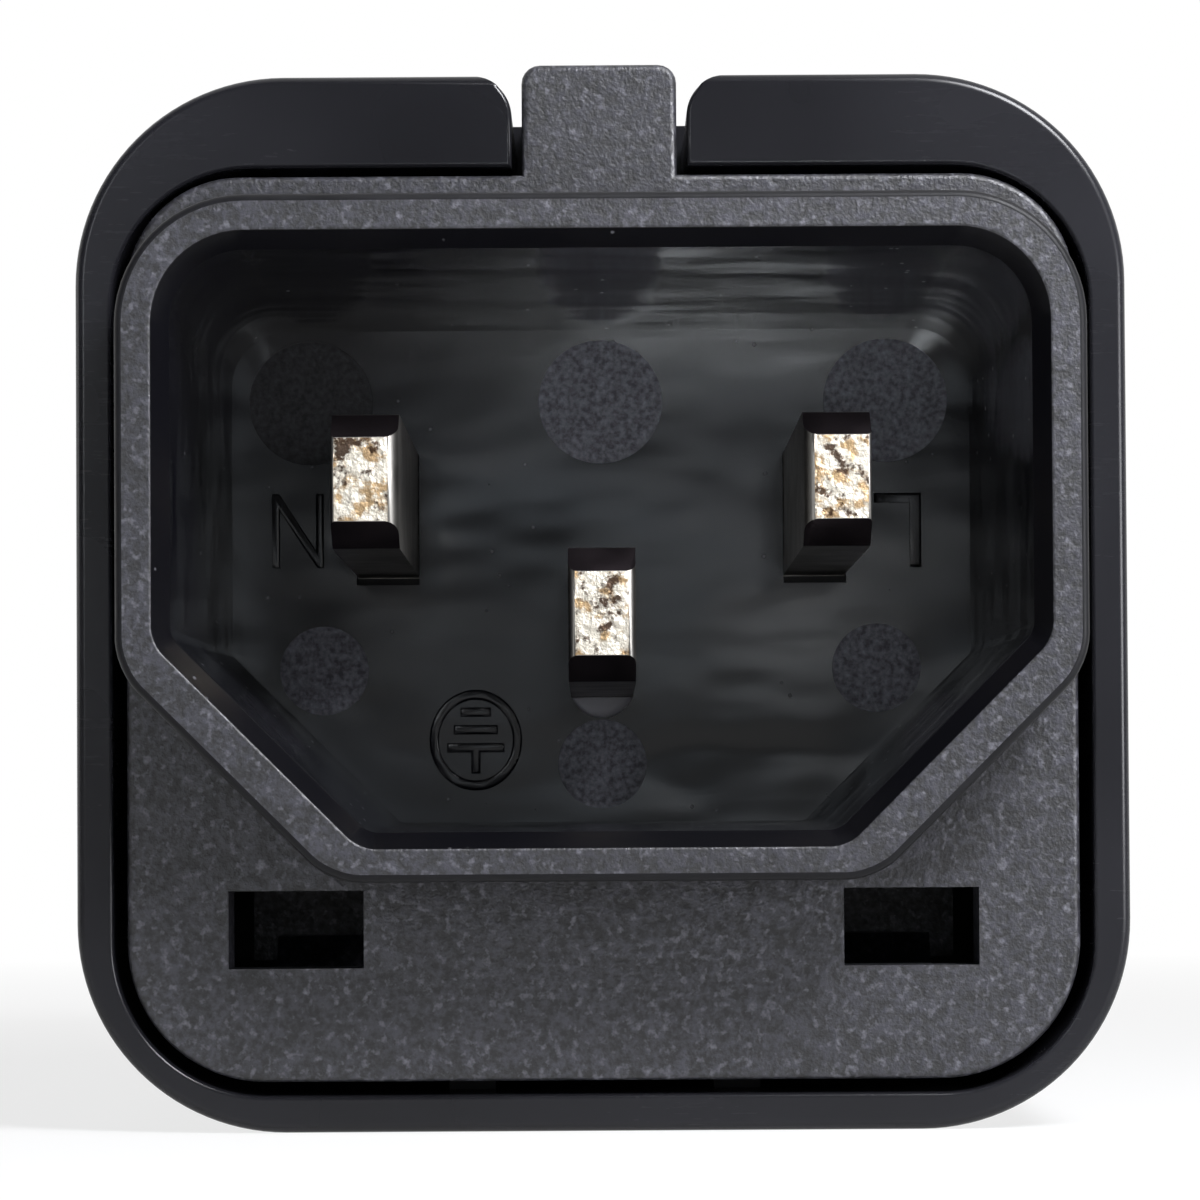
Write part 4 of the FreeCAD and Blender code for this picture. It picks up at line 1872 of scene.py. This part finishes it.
# ---- The studio ----
@dataclass(frozen=True)
class Lamp:
    """A soft rectangular lamp, whose light spreads by an angle in degrees."""

    name: str
    place: Triple
    aim: Triple
    size: Span
    watts: float
    colour: Triple = (1.0, 1.0, 1.0)
    spread: float = 180.0

    def hang(self) -> bpy.types.Object:
        """Hangs the lamp and turns it to its aim.

        Returns:
            The lamp.
        """
        clear_selection()
        bpy.ops.object.light_add(type="AREA", location=self.place)
        lamp = bpy.context.object
        lamp.name = self.name
        lamp.data.shape = "RECTANGLE"
        lamp.data.size, lamp.data.size_y = self.size
        lamp.data.energy = self.watts
        lamp.data.color = self.colour
        lamp.data.spread = math.radians(self.spread)
        towards = Vector(self.aim) - Vector(self.place)
        lamp.rotation_euler = towards.to_track_quat("-Z", "Y").to_euler()
        log.info("%s: %.5f W", self.name, self.watts)
        return lamp


@dataclass(frozen=True)
class Studio:
    """The camera, the floor, the backdrop and the lamps."""

    camera_place: Triple = (-0.0001, -0.1436, 0.0086)
    focal_length: float = 122.3
    sensor_width: float = 36.0
    seen: Span = (0.005, 20.0)
    lift: float = 1.35
    roll: float = 0.35
    shift: float = 0.12
    floor_size: float = 3.0
    sky: float = 1.0
    fill: float = 0.07
    room: float = 0.05
    room_reach: Span = (-0.4, 0.5)
    lamps: tuple[Lamp, ...] = (
        Lamp("key", (0.060, -0.100, 0.110), (0.0, -0.02, 0.012), (0.05, 0.05), 0.31,
             (0.95, 0.96, 1.0)),
        Lamp("side", (0.080, -0.085, 0.022), (0.0, -0.02, 0.010), (0.03, 0.03), 0.040,
             (0.95, 0.96, 1.0)),
        Lamp("overhead", (-0.03, -0.06, 0.40), (0.0, 0.0, 0.015), (0.30, 0.25), 0.12),
        Lamp("right_pane", (0.0175, -0.30, 0.043), (0.0, -0.02, 0.016), (0.0285, 0.035), 0.0044,
             (0.86, 0.93, 1.0)),
        Lamp("left_pane", (-0.008, -0.30, 0.030), (0.0, -0.02, 0.016), (0.019, 0.030), 0.0025,
             (0.76, 0.88, 1.0)),
        Lamp("low", (0.009, -0.155, 0.006), (0.0045, -0.010, 0.0262), (0.016, 0.004), 0.00005,
             (0.90, 0.95, 1.0), 9.0),
        Lamp("right_glint", (0.0142, -0.155, 0.0244), (0.0068, -0.01, 0.0162), (0.003, 0.003),
             0.0003),
        Lamp("left_glint", (-0.0135, -0.155, 0.0244), (-0.0065, -0.01, 0.0162), (0.003, 0.003),
             0.0003),
        Lamp("edge", (-0.12, -0.015, 0.035), (-0.015, -0.02, 0.02), (0.02, 0.03), 0.005),
        Lamp("strip", (-0.060, -0.150, 0.050), (-0.015, -0.023, 0.02), (0.012, 0.050), 0.018,
             (0.92, 0.96, 1.0)),
    )

    def set_up(self) -> None:
        """Builds the whole studio."""
        self.place_camera()
        self.lay_floor()
        self.light_world()
        for lamp in self.lamps:
            lamp.hang()
        bpy.context.scene.view_settings.view_transform = "Standard"

    def place_camera(self) -> None:
        """Places the camera in front of the C14 end."""
        clear_selection()
        turn = (math.radians(LEVEL + self.lift), math.radians(self.roll), 0.0)
        bpy.ops.object.camera_add(location=self.camera_place, rotation=turn)
        camera = bpy.context.object
        camera.name = "camera"
        camera.data.lens = self.focal_length
        camera.data.sensor_width = self.sensor_width
        camera.data.shift_y = self.shift
        camera.data.clip_start, camera.data.clip_end = self.seen
        camera.data.dof.use_dof = False
        bpy.context.scene.camera = camera
        log.info("camera: %.1f mm", self.focal_length)

    def lay_floor(self) -> None:
        """Lays the floor that the adapter stands on."""
        clear_selection()
        bpy.ops.mesh.primitive_plane_add(size=self.floor_size, location=(0.0, 0.0, 0.0))
        floor = bpy.context.object
        floor.name = "floor"
        floor.data.materials.append(PaleFloor().material())
        log.info("floor: %.1f m", self.floor_size)

    def light_world(self) -> None:
        """Makes the world: a white backdrop, and an even fill that is dimmer behind the camera."""
        world = bpy.data.worlds.new("studio")
        bpy.context.scene.world = world
        world.use_nodes = True
        graph = Graph(world.node_tree)
        camera, mirrored = graph.light_path()
        place = graph.node("ShaderNodeTexCoord").outputs["Generated"]
        along = graph.node("ShaderNodeSeparateXYZ", {0: place}).outputs["Y"]
        behind = graph.spread(along, Ramp(self.room_reach, (self.room, self.sky)),
                              interpolation_type="SMOOTHSTEP")
        indirect = graph.balance(mirrored, self.fill, behind)
        background = world.node_tree.nodes["Background"].inputs
        graph.feed(background["Strength"], graph.balance(camera, indirect, self.sky))
        graph.feed(background["Color"], WHITE)


def main() -> None:
    """Builds every sub-assembly and the studio."""
    logging.basicConfig(level=logging.INFO, format="%(name)s %(message)s")
    HousingShell().build()
    InletBlock().build()
    for pole in Pole:
        PinBlade(pole).build()
    SocketBlock().build()
    ContactSet().dress()
    Studio().set_up()


if __name__ == "__main__":
    main()
